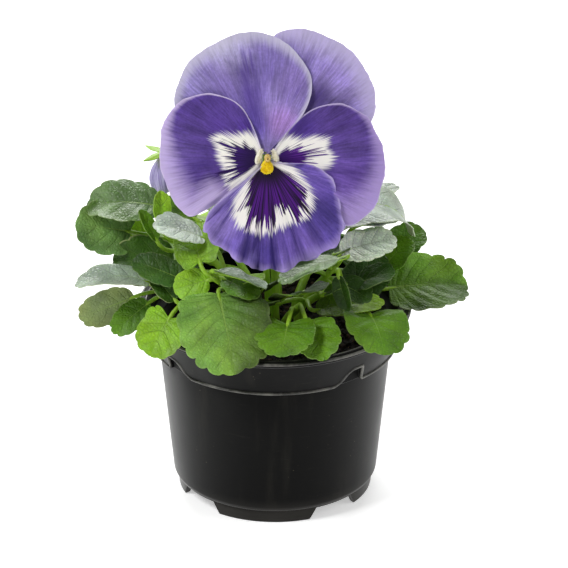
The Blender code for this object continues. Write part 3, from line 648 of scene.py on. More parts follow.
def stigma_paint():
    """Greenish yellow with a brown mouth."""
    skin = Skin("stigma_skin", Subsurface_Weight=0.1, Subsurface_Scale=MM)
    mottle = skin.noise(1500, 3)
    colour = skin.mix(mottle.between(0.3, 0.7), srgb(190, 150, 56), srgb(230, 206, 128))
    colour = skin.mix(skin.field("mouth").between(0.15, 0.8), colour, srgb(96, 40, 28))
    return skin.finish(colour, mottle.between(0.3, 0.7, 0.35, 0.55), mottle, 0.3, 0.15)


# Leaves

Leaf = namedtuple(
    "Leaf",
    "tone fork base heading pitch roll length width droop fold teeth lobe",
    defaults=(30, 18, 5, 0.0),
)

# lean paints light on the half of the blade on its +X side and paints shade on the other
Tone = namedtuple("Tone", "colour gloss rim lean", defaults=(0.0,))

TONES = {
    "mid": Tone(srgb(92, 138, 14), 0.45, 0.1),
    "front": Tone(srgb(116, 156, 60), 0.5, 0.1, 0.55),
    "glossy": Tone(srgb(106, 150, 30), 0.4, 0.12, -0.55),
    "round": Tone(srgb(118, 158, 80), 0.5, 0.15),
    "fresh": Tone(srgb(98, 146, 14), 0.45, 0.12),
    "bright": Tone(srgb(150, 198, 34), 0.5, 0.15),
    "dark": Tone(srgb(50, 88, 8), 0.4, 0.12),
    "shade": Tone(srgb(66, 104, 36), 0.5, 0.12, -0.3),
    "lit": Tone(srgb(130, 178, 34), 0.45, 0.12),
    "margin": Tone(srgb(60, 98, 8), 0.45, 0.55),
    "grey": Tone(srgb(100, 134, 68), 0.75, 0.12),
    # the next two tones are a painted sheen: pale colours that stand for light reflected off the blade
    "silver_sheen": Tone(srgb(184, 200, 178), 0.75, 0.25),
    "pale_sheen": Tone(srgb(226, 244, 208), 0.75, 0.25),
    "blue": Tone(srgb(70, 102, 62), 0.8, 0.15),
    "olive": Tone(srgb(132, 146, 84), 0.35, 0.1),
}

TIERS = {  # reach from the pot's axis, height, pitch, length, width, lobe, fork
    "low": (32.5, 79, 6, 28, 24, 0.14, 0.5),
    "mid": (28, 90, 14, 24, 19, 0.08, 0.75),
    "high": (20, 100, 26, 25, 20, 0.04, 1.0),
}


def back_leaf(tone, tier, heading, roll=0):
    """A leaf of the side that the front hides, which points away from the pot's axis."""
    reach, height, pitch, length, width, lobe, fork = TIERS[tier]
    base = polar(reach, math.radians(heading), height)
    return Leaf(tone, fork, base, heading, pitch, roll, length, width, 42, 14, 4, lobe)


STEMS = {
    "left_high": (
        (-9.0, 3.0), (-26, 5, 92),
        [
            Leaf("grey", 1.0, (-42, 4, 109), 184, 18, -20, 27, 22, 40, 10),
            Leaf("round", 0.7, (-53, 2, 100), 188, 14, -52, 20, 21, 10, 8, 5, 0.16),
            Leaf("bright", 0.5, (-46, 9, 88), 150, 42, -30, 18, 15, 30, 15, 4),
            Leaf("fresh", 0.9, (-43, -9, 102), 178, 66, -40, 13, 6, 10, 20, 3),
            Leaf("bright", 1.0, (-41, -8, 108), 90, 75, 30, 12, 8, 10, 20, 3),
            Leaf("fresh", 0.9, (-29, -2, 107), 174, 34, -30, 14, 10, 20, 10, 3),
        ],
    ),
    "left_low": (
        (-8.0, -4.5), (-27, -12, 80),
        [
            Leaf("silver_sheen", 1.0, (-45.8, -14, 87), 187, 30, -6, 28, 14, 62, 8, 5),
            Leaf("margin", 0.9, (-37, -4, 91), 190, 6, -58, 22, 20, 24, 14, 4),
            Leaf("shade", 0.95, (-33, -19, 90.5), 176, 26, -36, 20, 12.5, 20, 10, 5),
            Leaf("olive", 0.6, (-51.5, -3, 76), 184, -22, -74, 22, 13.5, 10, 8, 5),
            Leaf("mid", 0.5, (-46, -11, 77.5), 210, -28, -48, 17, 11, 16, 12, 5),
            Leaf("bright", 0.6, (-38, -33, 82), 236, -34, -16, 15.5, 18, 20, 6, 5, 0.28),
            Leaf("margin", 0.8, (-36, -22, 84), 150, 40, -50, 13, 8, 20, 20, 3),
            Leaf("dark", 0.5, (-23, -20, 75), 240, 14, -20, 15, 13, 20, 10, 3),
        ],
    ),
    "front": (
        (-3.0, -8.5), (-16, -20, 84),
        [
            Leaf("front", 0.9, (-20.2, -29, 89.5), 282, -24, 5, 32.5, 34.5, 26, -5, 7, 0.16),
            Leaf("lit", 0.95, (-27, -24, 100.5), 104, 34, -20, 19, 17, 30, 8, 4, 0.18),
            Leaf("blue", 1.0, (-21, -27, 98), 332, 4, -20, 21, 13, 20, 12, 4),
            Leaf("mid", 0.8, (-18.5, -24, 93.5), 330, -8, 24, 15, 11, 18, 8, 3),
            Leaf("silver_sheen", 1.0, (-26, -16, 106), 196, 34, -14, 19.5, 16, 28, 10, 5),
            Leaf("bright", 0.85, (-24, -24, 93), 190, -10, -50, 13, 12, 20, 8, 3),
            Leaf("dark", 0.7, (-6, -17, 84), 290, 50, 0, 14, 13, 20, 10, 3),
            Leaf("dark", 0.5, (-7, -23, 74), 280, 8, 10, 15, 13, 20, 10, 3),
            Leaf("mid", 0.6, (-3, -19, 80), 262, 42, 6, 14, 13, 24, 10, 4),
            Leaf("bright", 0.8, (-12, -21, 90), 318, 36, 8, 12, 8, 20, 14, 3),
        ],
    ),
    "front_right": (
        (3.5, -8.5), (24, -13, 87),
        [
            Leaf("mid", 0.3, (4.6, -36.5, 81.4), 262, -8, 2, 16.5, 22, 20, 6, 6, 0.3),
            Leaf("fresh", 0.4, (12, -32, 79.5), 288, -12, 8, 18.5, 19, 14, 10, 5, 0.1),
            Leaf("mid", 0.6, (34.5, -22, 78), 290, -4, -6, 19, 24, 46, 8, 5, 0.26),
            Leaf("bright", 0.5, (15, -19, 78.5), 4, 12, 16, 25, 12, 16, 8, 4),
            Leaf("dark", 1.0, (23, -23, 94), 300, -62, 60, 13, 8, 10, 24, 3),
            Leaf("dark", 0.7, (10, -18, 85), 300, 36, 10, 15, 13, 20, 8, 3),
            Leaf("dark", 0.9, (22, -16, 88.5), 330, -8, 20, 15, 12, 20, 8, 3),
            Leaf("mid", 0.5, (1, -21, 83), 305, 44, -8, 14, 12, 24, 12, 4),
            Leaf("dark", 0.8, (30, -15, 87), 345, 34, 20, 15, 13, 20, 12, 4),
            Leaf("fresh", 0.75, (18, -21, 86), 340, 40, 30, 10, 5, 20, 18, 3),
        ],
    ),
    "right": (
        (8.5, -1.0), (24, 0, 90),
        [
            Leaf("glossy", 0.6, (42, 2, 77), 10, 6, 26, 30, 27, 24, 12, 7, 0.1),
            Leaf("pale_sheen", 1.0, (24, -14, 99), 10, 20, 18, 21, 17, 22, 4, 6),
            Leaf("grey", 0.9, (24, -20, 99.8), 214, 6, 14, 27, 18, 24, 8, 7),
            Leaf("silver_sheen", 1.0, (32, -3, 105.5), 12, 10, 6, 13, 10, 20, 10, 3),
            Leaf("silver_sheen", 0.95, (20, 4, 101.5), 2, 56, 16, 40, 27, 140, 8, 5),
            Leaf("dark", 0.6, (28, -5, 78), 30, 44, 40, 19, 17, 20, 10, 4, 0.1),
            Leaf("fresh", 0.75, (39, 5, 83), 18, 52, 30, 16, 12, 30, 8, 3),
            Leaf("dark", 0.8, (15, -8, 91), 350, 48, 10, 17, 14, 24, 12, 4),
            Leaf("dark", 0.7, (5, -10, 92), 300, 50, 0, 16, 14, 24, 12, 4),
        ],
    ),
    "right_back": (
        (7.5, 5.5), (17, 18, 88),
        [
            back_leaf("mid", "low", 42, 6), back_leaf("fresh", "mid", 58, -6),
            back_leaf("grey", "high", 58, 8),
            Leaf("silver_sheen", 1.0, (28, 26, 101), 4, 22, 5, 18.5, 11, 14, 10, 4),
            Leaf("mid", 0.8, (43, 20, 83.5), 28, 30, 30, 15, 14, 20, 8, 3),
        ],
    ),
    "back": (
        (1.0, 9.5), (1, 22, 88),
        [
            back_leaf("fresh", "low", 75, -6), back_leaf("mid", "low", 108, 6),
            back_leaf("grey", "mid", 91, 8), back_leaf("fresh", "high", 98, -4),
        ],
    ),
    "left_back": (
        (-6.0, 8.0), (-17, 18, 88),
        [
            back_leaf("mid", "low", 141, -6), back_leaf("bright", "mid", 124, 6),
            back_leaf("mid", "mid", 152, -8), back_leaf("grey", "high", 138, 4),
        ],
    ),
}

LEAF_FIELDS = {
    "tone": ("FLOAT_COLOR", (0.1, 0.2, 0.03, 1.0)),
    "gloss": ("FLOAT", 0.4),
    "rim": ("FLOAT", 0.0),
    "vein": ("FLOAT", 0.25),
    "across": ("FLOAT", 0.5),
    "along": ("FLOAT", 0.5),
}


def blade_outline(leaf, angle):
    """Half width and distance along the rib of the margin, angle 0 at the base and pi at the tip."""
    along = ((1 - math.cos(angle)) / 2) ** 1.15
    across = math.sin(angle) ** 0.8
    back = leaf.lobe * math.sin(min(angle / (0.55 * math.pi), 1.0) * math.pi)
    x, y = 0.5 * leaf.width * across, leaf.length * (along - back)
    first_notch = 0.2 * math.pi
    if angle > first_notch:
        left = (math.pi - angle) / (math.pi - first_notch)
        bump = abs(math.cos(math.pi * leaf.teeth * left)) ** 0.5
        uneven = 1 + 0.7 * noise.noise(Vector((leaf.base[0], leaf.base[1], 3.0 * angle)))
        shrink = 1 - TOOTH_DEPTH * uneven * (1 - bump)
        middle = 0.42 * leaf.length
        x, y = x * shrink, middle + (y - middle) * shrink
    return x, y


def blade_point(leaf, x, y):
    """A flat point of the blade, folded along the rib and arched, in the leaf's own axes."""
    fold = math.radians(leaf.fold)
    bent = math.sqrt(x * x + (0.05 * leaf.width) ** 2) - 0.05 * leaf.width
    across, up = x * math.cos(fold), bent * math.sin(fold)
    wave = math.sin(9.0 * y / leaf.length + (1.5 if x > 0 else 0))
    up += 0.03 * leaf.width * wave * (2 * abs(x) / leaf.width) ** 2
    share = min(max(y / leaf.length, 0.0), 1.0)
    bend = math.radians(leaf.droop) * share
    step = share * leaf.length / ARCH_STEPS
    along = lift = 0.0
    for i in range(ARCH_STEPS):
        turn = bend * (i + 0.5) / ARCH_STEPS
        along += step * math.cos(turn)
        lift -= step * math.sin(turn)
    if y < 0:
        along = y
    return Vector((across, along + up * math.sin(bend), lift + up * math.cos(bend)))


def leaf_matrix(leaf):
    """The leaf's axes: X across, Y along the rib, Z out of the upper face."""
    heading, pitch = math.radians(leaf.heading), math.radians(leaf.pitch)
    forward = Vector(
        (math.cos(heading) * math.cos(pitch), math.sin(heading) * math.cos(pitch), math.sin(pitch))
    )
    right = Vector((math.sin(heading), -math.cos(heading), 0))
    up = right.cross(forward)
    axes = Matrix((right, forward, up)).transposed().to_4x4()
    return Matrix.Translation(leaf.base) @ axes @ Matrix.Rotation(math.radians(leaf.roll), 4, "Y")


def add_blade(shape, leaf, seed):
    """A quilted blade whose side veins run forward from the rib into its teeth."""
    place = leaf_matrix(leaf)
    tone = TONES[leaf.tone]
    tooth = 0.8 * math.pi / leaf.teeth
    rows = round(ROWS_A_TOOTH * leaf.teeth * 1.25)
    rib_power = 2.9 if leaf.width > 0.85 * leaf.length else 2.0
    grid, values = [], []
    for i in range(rows + 1):
        along = i / rows
        angle = math.pi * (0.012 + 0.981 * along)
        edge_x, edge_y = blade_outline(leaf, angle)
        rib_y = leaf.length * along**rib_power
        phase = (math.pi - angle) / tooth
        quilt = 0.5 - 0.5 * math.cos(TAU * phase)
        row, row_values = [], []
        for j in range(-BLADE_COLUMNS, BLADE_COLUMNS + 1):
            share = abs(j) / BLADE_COLUMNS
            across = math.copysign(share, j)
            x, y = edge_x * across, rib_y + (edge_y - rib_y) * share**1.3
            point = blade_point(leaf, x, y)
            wave = noise.noise(Vector((x * 0.13, y * 0.13, seed * 7.3)))
            point.z += leaf.width * (QUILT * quilt * math.sin(math.pi * share) ** 0.7 + WAVE * wave * share)
            row.append(place @ point)
            # painted light and shade across the blade, from the tone's lean
            shaded = [channel * (1 + tone.lean * across) for channel in tone.colour]
            row_values.append({
                "tone": (*shaded, 1.0), "gloss": tone.gloss, "rim": tone.rim,
                "vein": phase, "across": across, "along": along,
            })
        grid.append(row)
        values.append(row_values)
    add_skin(shape, grid, values, BLADE_HALF, 2 if tone.gloss > SILVERY_GLOSS else 0, 1)


def add_petiole(shape, leaf, start):
    """The leaf's stalk, from the stem's middle and on under the blade as its rib."""
    place = leaf_matrix(leaf)
    base = place.translation
    forward = place.to_3x3() @ Vector((0, 1, 0))
    reach = 0.4 * (base - start).length
    rise = Vector((0.3 * (base.x - start.x), 0.3 * (base.y - start.y), 0.4 * abs(base.z - start.z) + 3))
    points = bezier(start, start + rise, base - forward * reach, base, 14)
    radii = [PETIOLE_RADIUS * (1 - 0.2 * i / 14) for i in range(15)]
    for i in range(1, 10):
        share = i / 10
        under = Vector((0, 0, -0.5 * (1 - share) - 0.1))
        points.append(place @ (blade_point(leaf, 0, leaf.length * share) + under))
        radii.append(0.62 * (1 - share) + 0.1)
    add_tube(shape, points, radii, 8, 3, {"tone": (*TONES[leaf.tone].colour, 1.0)})


def stem_foot(x, y):
    """Where a stem ends in its hole, and where it leaves the soil."""
    foot = Vector((x, y, SOIL_TOP_Z - HOLE_DEPTH + 0.3))
    return foot, Vector((x, y, SOIL_TOP_Z + SOIL_CROWN + 1.0))


def build_leafy_stem(name, hole, end, leaves, paints):
    """One stem out of its hole in the soil, with its leaves."""
    shape = Shape()
    foot, collar = stem_foot(*hole)
    end = Vector(end)
    bow = bezier(collar, collar + Vector((0, 0, 8)), end + (collar - end) * 0.3, end, 24)
    radii = [STEM_RADIUS] + [STEM_RADIUS * (1.03 - 0.4 * i / 24) for i in range(25)]
    add_tube(shape, [foot] + bow, radii, 14, 3)
    for i, leaf in enumerate(leaves):
        place = leaf.fork * (len(bow) - 1)
        low = min(int(place), len(bow) - 2)
        add_blade(shape, leaf, i + len(name))
        add_petiole(shape, leaf, bow[low].lerp(bow[low + 1], place - low))
    piece = shape.piece("leaves_" + name, paints, LEAF_FIELDS)
    return ride(piece, "leaf_green", "leafy_stem_" + name)


# Bloom

Petal = namedtuple("Petal", "layer outline ruffle waves frill tint spots margins smudges white dark")

# tint is the plain colour; spots are (x, y, reach, colour); margins are (direction in degrees,
# width) of the pale border; smudges are folds painted darker as shade, as (direction, from,
# to, half width in degrees, strength); white and dark are the outlines of the white zone and the blotch.
PETALS = {
    "petal_upper_right": Petal(
        -3,
        [(0.4, 2.0), (12, 4.5), (25.5, 6.5), (35, 11), (39, 18), (38, 25.4), (34.2, 33.8),
         (25.1, 42), (14.6, 45.9), (5.9, 45.9), (0.5, 40), (-1.5, 27), (-0.6, 12)],
        0.8, 5, 0.006, srgb(141, 124, 192),
        [(18, 23, 4.5, srgb(58, 40, 98)), (27, 33, 9, srgb(150, 132, 194)),
         (20, 42, 7, srgb(164, 150, 202)), (33, 22, 7, srgb(166, 148, 204)),
         (26, 12, 7, srgb(120, 100, 178))],
        [(10, 2.5), (30, 4.5), (60, 5), (90, 5)],
        [(51, 22, 34, 7, 1.0), (66, 30, 44, 3, 0.35), (40, 30, 40, 3, 0.35), (78, 34, 46, 3, 0.3)],
        [], [],
    ),
    "petal_upper_left": Petal(
        -2,
        [(-0.3, 2.0), (-12, 5.8), (-24.4, 8.8), (-31.7, 16), (-32.7, 24.4), (-27.3, 35),
         (-16.1, 42.8), (-2.9, 45.3), (6.8, 41.3), (14.2, 33.2), (16, 24.4), (12.7, 16),
         (5, 7.3)],
        0.8, 5, 0.005, srgb(148, 132, 196),
        [(-1, 32, 4.2, srgb(98, 84, 146)), (-7.5, 31, 2.6, srgb(92, 72, 146)),
         (-6, 23, 3.8, srgb(84, 60, 148)), (-3.8, 12, 3.6, srgb(88, 64, 170)),
         (5.5, 13, 4.2, srgb(190, 146, 224)), (-5.5, 17, 3, srgb(84, 60, 160)),
         (10, 28, 6, srgb(142, 120, 190)), (-26, 27, 7, srgb(146, 136, 188)),
         (-14, 38, 6, srgb(178, 172, 202)), (-16, 28, 6, srgb(132, 112, 182)),
         (-22, 16, 6, srgb(112, 94, 168)), (3, 37, 6, srgb(126, 110, 176))],
        [(60, 1), (90, 3), (115, 3.6), (130, 2.6), (155, 1.8)],
        [(103, 10, 42, 6, 0.6), (88, 24, 38, 3, 0.3), (124, 18, 34, 4, 0.35), (140, 16, 30, 4, 0.25),
         (74, 18, 32, 4, 0.2)],
        [], [],
    ),
    "petal_side_right": Petal(
        -1,
        [(1.6, 0.6), (5.9, 8.3), (15.6, 17.6), (26.4, 20), (35.4, 15.4), (39, 9.8),
         (42.2, 1), (41.6, -7.8), (38.6, -16.9), (31.2, -23.5), (23.4, -21.5),
         (12.7, -11.7), (4.4, -3)],
        0.8, 6, 0.006, srgb(96, 72, 152),
        [(12, 12, 5, srgb(62, 38, 124)), (26, 16, 7, srgb(84, 60, 136)),
         (31, 4, 7, srgb(98, 74, 152)), (30, -8, 6, srgb(112, 84, 166)),
         (34, -17, 6, srgb(164, 140, 204)), (6, 6, 3, srgb(70, 40, 134))],
        [(-34, 7), (-12, 5), (0, 3.5), (12, 2), (30, 0.6), (60, 0.1)],
        [(-10, 22, 38, 4, 0.8), (-17, 24, 34, 3, 0.5), (45, 10, 24, 9, 0.5), (22, 22, 36, 5, 0.3),
         (4, 25, 37, 3, 0.35)],
        [(1.2, 1.2), (3.5, 6.4), (7.9, 8.4), (12.5, 7.6), (17, 8.2), (21.9, 7.6), (21.5, 4.5),
         (24.3, 0.6), (22.5, -2.4), (18, -5), (8, -3.4), (3, -0.8)],
        [(3.6, 0.6), (4.9, 2.9), (7.5, 4.7), (8.2, 3.3), (11.8, 5.1), (12.0, 3.0), (18.3, 3.3),
         (14.5, 2.0), (21, 2.4), (14.3, 0.6), (16.4, -0.5), (12, -1.6), (4.5, -1.8)],
    ),
    "petal_side_left": Petal(
        -1,
        [(-1.6, 0.4), (-4.9, 11.7), (-10.7, 20.3), (-20.5, 23.6), (-29.3, 21.5),
         (-35.8, 15.4), (-38.3, 5.7), (-37.6, -4.7), (-33.4, -15), (-28.5, -20.2),
         (-22.4, -18.5), (-13, -12), (-4.8, -6)],
        0.8, 6, 0.006, srgb(92, 68, 148),
        [(-22, 19, 6, srgb(86, 62, 144)), (-27, 7, 7, srgb(86, 64, 138)),
         (-18, 12, 4, srgb(80, 54, 138)), (-20, -7, 6, srgb(66, 46, 112)),
         (-6, 10, 4, srgb(76, 46, 144)), (-32, 2, 5, srgb(122, 100, 176))],
        [(125, 0.1), (150, 1), (165, 3), (185, 5.5), (205, 7), (222, 6)],
        [(184, 15, 33, 5, 0.7), (172, 17, 30, 4, 0.4), (120, 14, 24, 10, 0.35), (196, 20, 32, 3, 0.35)],
        [(-1, 2), (-3.5, 8.0), (-7, 9.6), (-12, 9.0), (-16, 9.4), (-19.8, 7.8), (-18, 4.5),
         (-17.5, 0.9), (-15.6, -3), (-15, -7.5), (-13, -10.6), (-8.5, -8), (-5, -5), (-1, -1)],
        [(-3.6, 2.4), (-4.6, 4.4), (-5.8, 4.0), (-8.2, 6.3), (-8.9, 4.4), (-12.2, 6.1),
         (-11.4, 3.6), (-16.3, 6.3), (-12.0, 1.9), (-14.6, 0.6), (-11.8, -0.6), (-14.3, -2.6),
         (-11.6, -2.6), (-16.8, -5.1), (-10.6, -4.4), (-14.1, -8.1), (-7.5, -4.6), (-3.4, -1.2)],
    ),
    "petal_lower": Petal(
        0,
        [(0.2, -0.8), (-8.4, -8.2), (-18.5, -16.1), (-22.5, -23.4), (-20.5, -28.6),
         (-12.7, -34.7), (-5.4, -38.9), (4.9, -40), (15.6, -35.9), (24.4, -31),
         (27.5, -24.4), (25.9, -15.6), (23.4, -6.8), (16.1, -1.9), (6.8, -1.0)],
        1.5, 9, 0.016, srgb(98, 78, 160),
        [(-17, -23, 5.5, srgb(160, 138, 214)), (-18.5, -16.5, 4, srgb(90, 74, 146)),
         (-7.6, -32, 2.6, srgb(58, 46, 112)), (-5, -35, 1.8, srgb(128, 112, 190)),
         (5.5, -35, 2.2, srgb(130, 108, 190)), (-12, -31, 3, srgb(120, 100, 182)),
         (1.4, -33.5, 2.8, srgb(62, 48, 124)), (13, -32, 5.5, srgb(120, 96, 176)),
         (21.5, -20, 6, srgb(66, 52, 126)), (17.5, -7, 5, srgb(116, 92, 180)),
         (7, -30, 3, srgb(104, 82, 166)), (24, -26, 3, srgb(96, 80, 158))],
        [(-150, 1.5), (-120, 1.5), (-90, 1.5), (-65, 3), (-45, 1.2), (-25, 1.0)],
        [(-103.5, 17, 47, 2.2, 1.0), (-95, 17, 47, 2.0, 0.9), (-86, 17, 48, 2.4, 1.0),
         (-70, 17, 44, 2.4, 0.8), (-58, 17, 40, 2.4, 0.7), (-40, 18, 34, 5, 0.5), (-25, 14, 26, 4, 0.35),
         (-124, 24, 34, 3, 0.4), (-137, 20, 30, 3, 0.4), (-78, 22, 46, 1.4, 0.6)],
        [(-3.0, -3.0), (-8, -9), (-11.5, -14), (-12.4, -20), (-10, -24.3), (-2.5, -26.8),
         (2.3, -25.6), (9.4, -22.3), (13.3, -21.5), (16.2, -18.6), (16.6, -13.2), (14.4, -8.4),
         (9.4, -2.2), (6, -1), (-2, -0.6)],
        [(-1.5, -2.2), (-2.8, -3.3), (-5.8, -6.6), (-7.6, -14.4), (-9.9, -18.3), (-7.0, -17.0),
         (-6.7, -24.9), (-4.6, -21.0), (-2.8, -26.6), (-0.8, -22.6), (0.9, -25.7), (1.8, -21.0),
         (2.9, -21), (3.4, -16.5), (5.0, -16.3), (5.8, -19.2), (7.6, -17.0), (10.9, -21.6),
         (12.0, -17.4), (15.4, -20), (13.6, -15), (14.2, -10.5), (8, -5), (2.3, -1.8)],
    ),
}

PETAL_FIELDS = {
    "tone": ("FLOAT_COLOR", (0.2, 0.15, 0.45, 1.0)),
    "bloom": ("FLOAT_VECTOR", (0.0, 0.0, 0.0)),
    "rim_mm": ("FLOAT", 5.0),
    "pale": ("FLOAT", -1.0),
    "streaky": ("FLOAT", 1.0),
    "smudge": ("FLOAT", 0.0),
    "white_mm": ("FLOAT", -30.0),
    "dark_mm": ("FLOAT", -30.0),
}

# x, y, reach, hairs and material of each tuft in the throat
TUFTS = [
    (-2.2, 3.2, 0.7, 50, 0), (-2.8, 1.5, 0.8, 60, 0), (-3.3, -0.2, 0.7, 45, 0),
    (2.4, 3.0, 0.7, 50, 0), (3.0, 1.5, 0.8, 60, 0), (3.5, 0.1, 0.6, 40, 0),
    (0.0, -2.6, 2.3, 110, 1),
]

# Pairs of height and radius
RECEPTACLE_PROFILE = [
    (-10.2, 1.3), (-9.4, 1.9), (-8.4, 2.35), (-7.2, 2.5), (-6.2, 2.1), (-5.3, 1.3), (-4, 1.0), (1.3, 0.9),
]


def flower_matrix():
    """The bloom's axes: X to the right, Y up in the petals' plane, Z towards the viewer."""
    lean = Matrix.Rotation(math.radians(90 - FLOWER_TILT), 4, "X")
    return Matrix.Translation(FLOWER_THROAT) @ lean


def fold_share(smudge, x, y):
    """How deep in one of the petal's folds a place lies, 0 to the fold's strength; the folds are painted
    darker as shade.
    """
    bearing, start, stop, half, strength = smudge
    radius = math.hypot(x, y)
    off = (math.degrees(math.atan2(y, x)) - bearing + 180) % 360 - 180
    ends = min(max((radius - start) / 7.0, 0.0), 1.0) * min(max((stop - radius) / 7.0, 0.0), 1.0)
    return strength * ends * math.exp(-((off / half) ** 2))


def petal_height(petal, x, y, share, turn):
    """Height of a petal out of the bloom's plane: its layer, a shallow dome and a ruffled edge."""
    dome = -DOME_DROP * (x * x + y * y) / DOME_RADIUS**2
    ruffle = petal.ruffle * share**3 * math.sin(TAU * petal.waves * turn)
    soft = 0.45 * noise.noise(Vector((x * 0.12, y * 0.12, petal.layer * 5.0))) * share
    crimp = 0.3 * petal.ruffle * share**8 * math.sin(TAU * (2.6 * petal.waves) * turn + 1.0)
    valley = sum(0.9 * fold_share(smudge, x, y) for smudge in petal.smudges)
    return petal.layer * PETAL_LAYER + dome + ruffle + soft + crimp - valley


def petal_tint(petal, x, y):
    """The plain colour, drawn towards the spots near a place."""
    total = 0.35
    mixed = [channel * total for channel in petal.tint]
    for spot_x, spot_y, reach, colour in petal.spots:
        weight = math.exp(-((x - spot_x) ** 2 + (y - spot_y) ** 2) / (reach * reach))
        total += weight
        mixed = [m + weight * c for m, c in zip(mixed, colour)]
    return (*(m / total for m in mixed), 1.0)


def margin_width(petal, x, y):
    """Width of the pale border in the direction of a place."""
    spans = petal.margins
    middle = 0.5 * (spans[0][0] + spans[-1][0])
    bearing = (math.degrees(math.atan2(y, x)) - middle + 180) % 360 - 180 + middle
    if bearing <= spans[0][0]:
        return spans[0][1]
    for (low, low_width), (high, high_width) in zip(spans, spans[1:]):
        if bearing <= high:
            return low_width + (bearing - low) / (high - low) * (high_width - low_width)
    return spans[-1][1]


def petal_values(petal, edge, x, y):
    """What the petal's shader needs to know at a place."""
    rim = edge_distance((x, y), edge, closed=False)
    radius = math.hypot(x, y)
    uneven = noise.noise(Vector((x * 0.1, y * 0.1, 4.0 + petal.layer)))
    values = {
        "tone": petal_tint(petal, x, y),
        "bloom": (x, y, radius),
        "rim_mm": rim,
        "pale": 1.0 - rim / max(margin_width(petal, x, y), 0.3) - max(22 - radius, 0) / 6,
        "smudge": sum(fold_share(smudge, x, y) for smudge in petal.smudges),
        "streaky": 0.55 + 0.9 * uneven,
    }
    if petal.white:
        values["white_mm"] = edge_distance((x, y), petal.white)
        values["dark_mm"] = edge_distance((x, y), petal.dark)
    return values


def add_spur(shape, place):
    """The nectar spur behind the lower petal."""
    route = [(0, -3.9, -0.4), (0, -3.8, -3.0), (0, -3.6, -7.0), (0, -3.0, -11.0), (0, -2.6, -11.8)]
    points = open_spline([place @ Vector(point) for point in route], 5)
    radii = [0.9 + 0.35 * math.sin(math.pi * min(i / 17, 1.0)) for i in range(len(points))]
    radii[-3:] = [0.8, 0.6, 0.25]
    add_tube(shape, points, radii, 16, 1, {"bloom": (0.0, -4.0, 4.0), "tone": (0.3, 0.25, 0.5, 1)})


def build_petal(name, petal, back):
    """One petal as a waved sheet in rings round its claw."""
    place = flower_matrix()
    outline = closed_spline(petal.outline, PETAL_STEPS)
    claw, edge = outline[0], outline[1:]
    area = sum(a.x * b.y - b.x * a.y for a, b in zip(edge, edge[1:]))
    clockwise = range(len(edge))[:: -1 if area > 0 else 1]
    coarse = [tuple(point) for point in edge[::3]]
    grid, values = [], []
    for k in range(PETAL_RINGS + 1):
        ring = 0.02 + 0.98 * (k / PETAL_RINGS) ** 0.85
        row, row_values = [], []
        for i in clockwise:
            turn = i / len(edge)
            frill = math.sin(TAU * 1.7 * petal.waves * turn) + noise.noise(Vector((turn * 60, 3.0, 5.0)))
            x, y = claw.lerp(edge[i], ring * (1 + petal.frill * frill * ring**6))
            row.append(place @ Vector((x, y, petal_height(petal, x, y, ring, turn))))
            row_values.append(petal_values(petal, coarse, x, y))
        grid.append(row)
        values.append(row_values)
    shape = Shape()
    add_skin(shape, grid, values, PETAL_HALF)
    if name == "petal_lower":
        add_spur(shape, place)
    paints = [petal_paint(name + "_skin", PETAL_LOOKS[name]), back]
    return ride(shape.piece(name + "_fine", paints, PETAL_FIELDS), "petal_violet", name)


def add_pad(shape, centre, reach, turn, low, rise, slot):
    """A granular oval pad in the bloom's plane, narrower towards its top."""
    place = flower_matrix()
    lean = Matrix.Translation((*centre, low)) @ Matrix.Rotation(math.radians(turn), 4, "Z")
    rings = []
    for k in range(PAD_RINGS, -1, -1):
        share = k / PAD_RINGS
        dome = rise * math.sqrt(max(1 - share**2.4, 0.0))
        ring = []
        for around in turns(PAD_SIDES):
            across = reach[0] * share * math.cos(around) * (1 - 0.2 * math.sin(around))
            point = lean @ Vector((across, reach[1] * share * math.sin(around), dome))
            point.z += 0.14 * noise.noise(Vector((point.x * 3.1, point.y * 3.1, 1.0)))
            ring.append(shape.point(place @ point))
        rings.append(ring)
    shape.loft(rings, slot, far_cap=False)


def build_throat(paints):
    """The yellow pad at the lower petal's base and the cream ones beside the stigma."""
    shape = Shape()
    add_pad(shape, (0.0, -2.4), (2.3, 2.6), 0, 0.15, 1.25, 0)
    add_pad(shape, (-2.8, 1.3), (1.15, 3.0), -18, -1.0, 1.3, 1)
    add_pad(shape, (3.0, 1.5), (1.05, 2.7), 18, -1.0, 1.3, 1)
    return ride(shape.piece("throat_pad", paints), "stigma")


def build_beards(paints):
    """Short hairs: white ones on the side petals' bases, yellow ones round the pad."""
    place = flower_matrix()
    chance = random.Random(5)
    shape = Shape()
    for centre_x, centre_y, reach, count, slot in TUFTS:
        low_z, shortest, longest = (-0.6, 0.5, 1.1) if slot == 0 else (0.9, 0.4, 0.8)
        for _ in range(count):
            around, out = chance.uniform(0, TAU), reach * math.sqrt(chance.random())
            x, y = centre_x + out * math.cos(around), centre_y + out * math.sin(around)
            low = Vector((x, y, low_z))
            lean = Vector((chance.uniform(-0.5, 0.5) - 0.1 * x, chance.uniform(-0.5, 0.5), 1.0))
            tip = low + lean.normalized() * (chance.uniform(shortest, longest) + 0.5)
            points = [place @ low, place @ low.lerp(tip, 0.5), place @ tip]
            add_tube(shape, points, [0.09, 0.08, 0.05], 5, slot)
    return ride(shape.piece("throat_hairs", paints), "stigma")


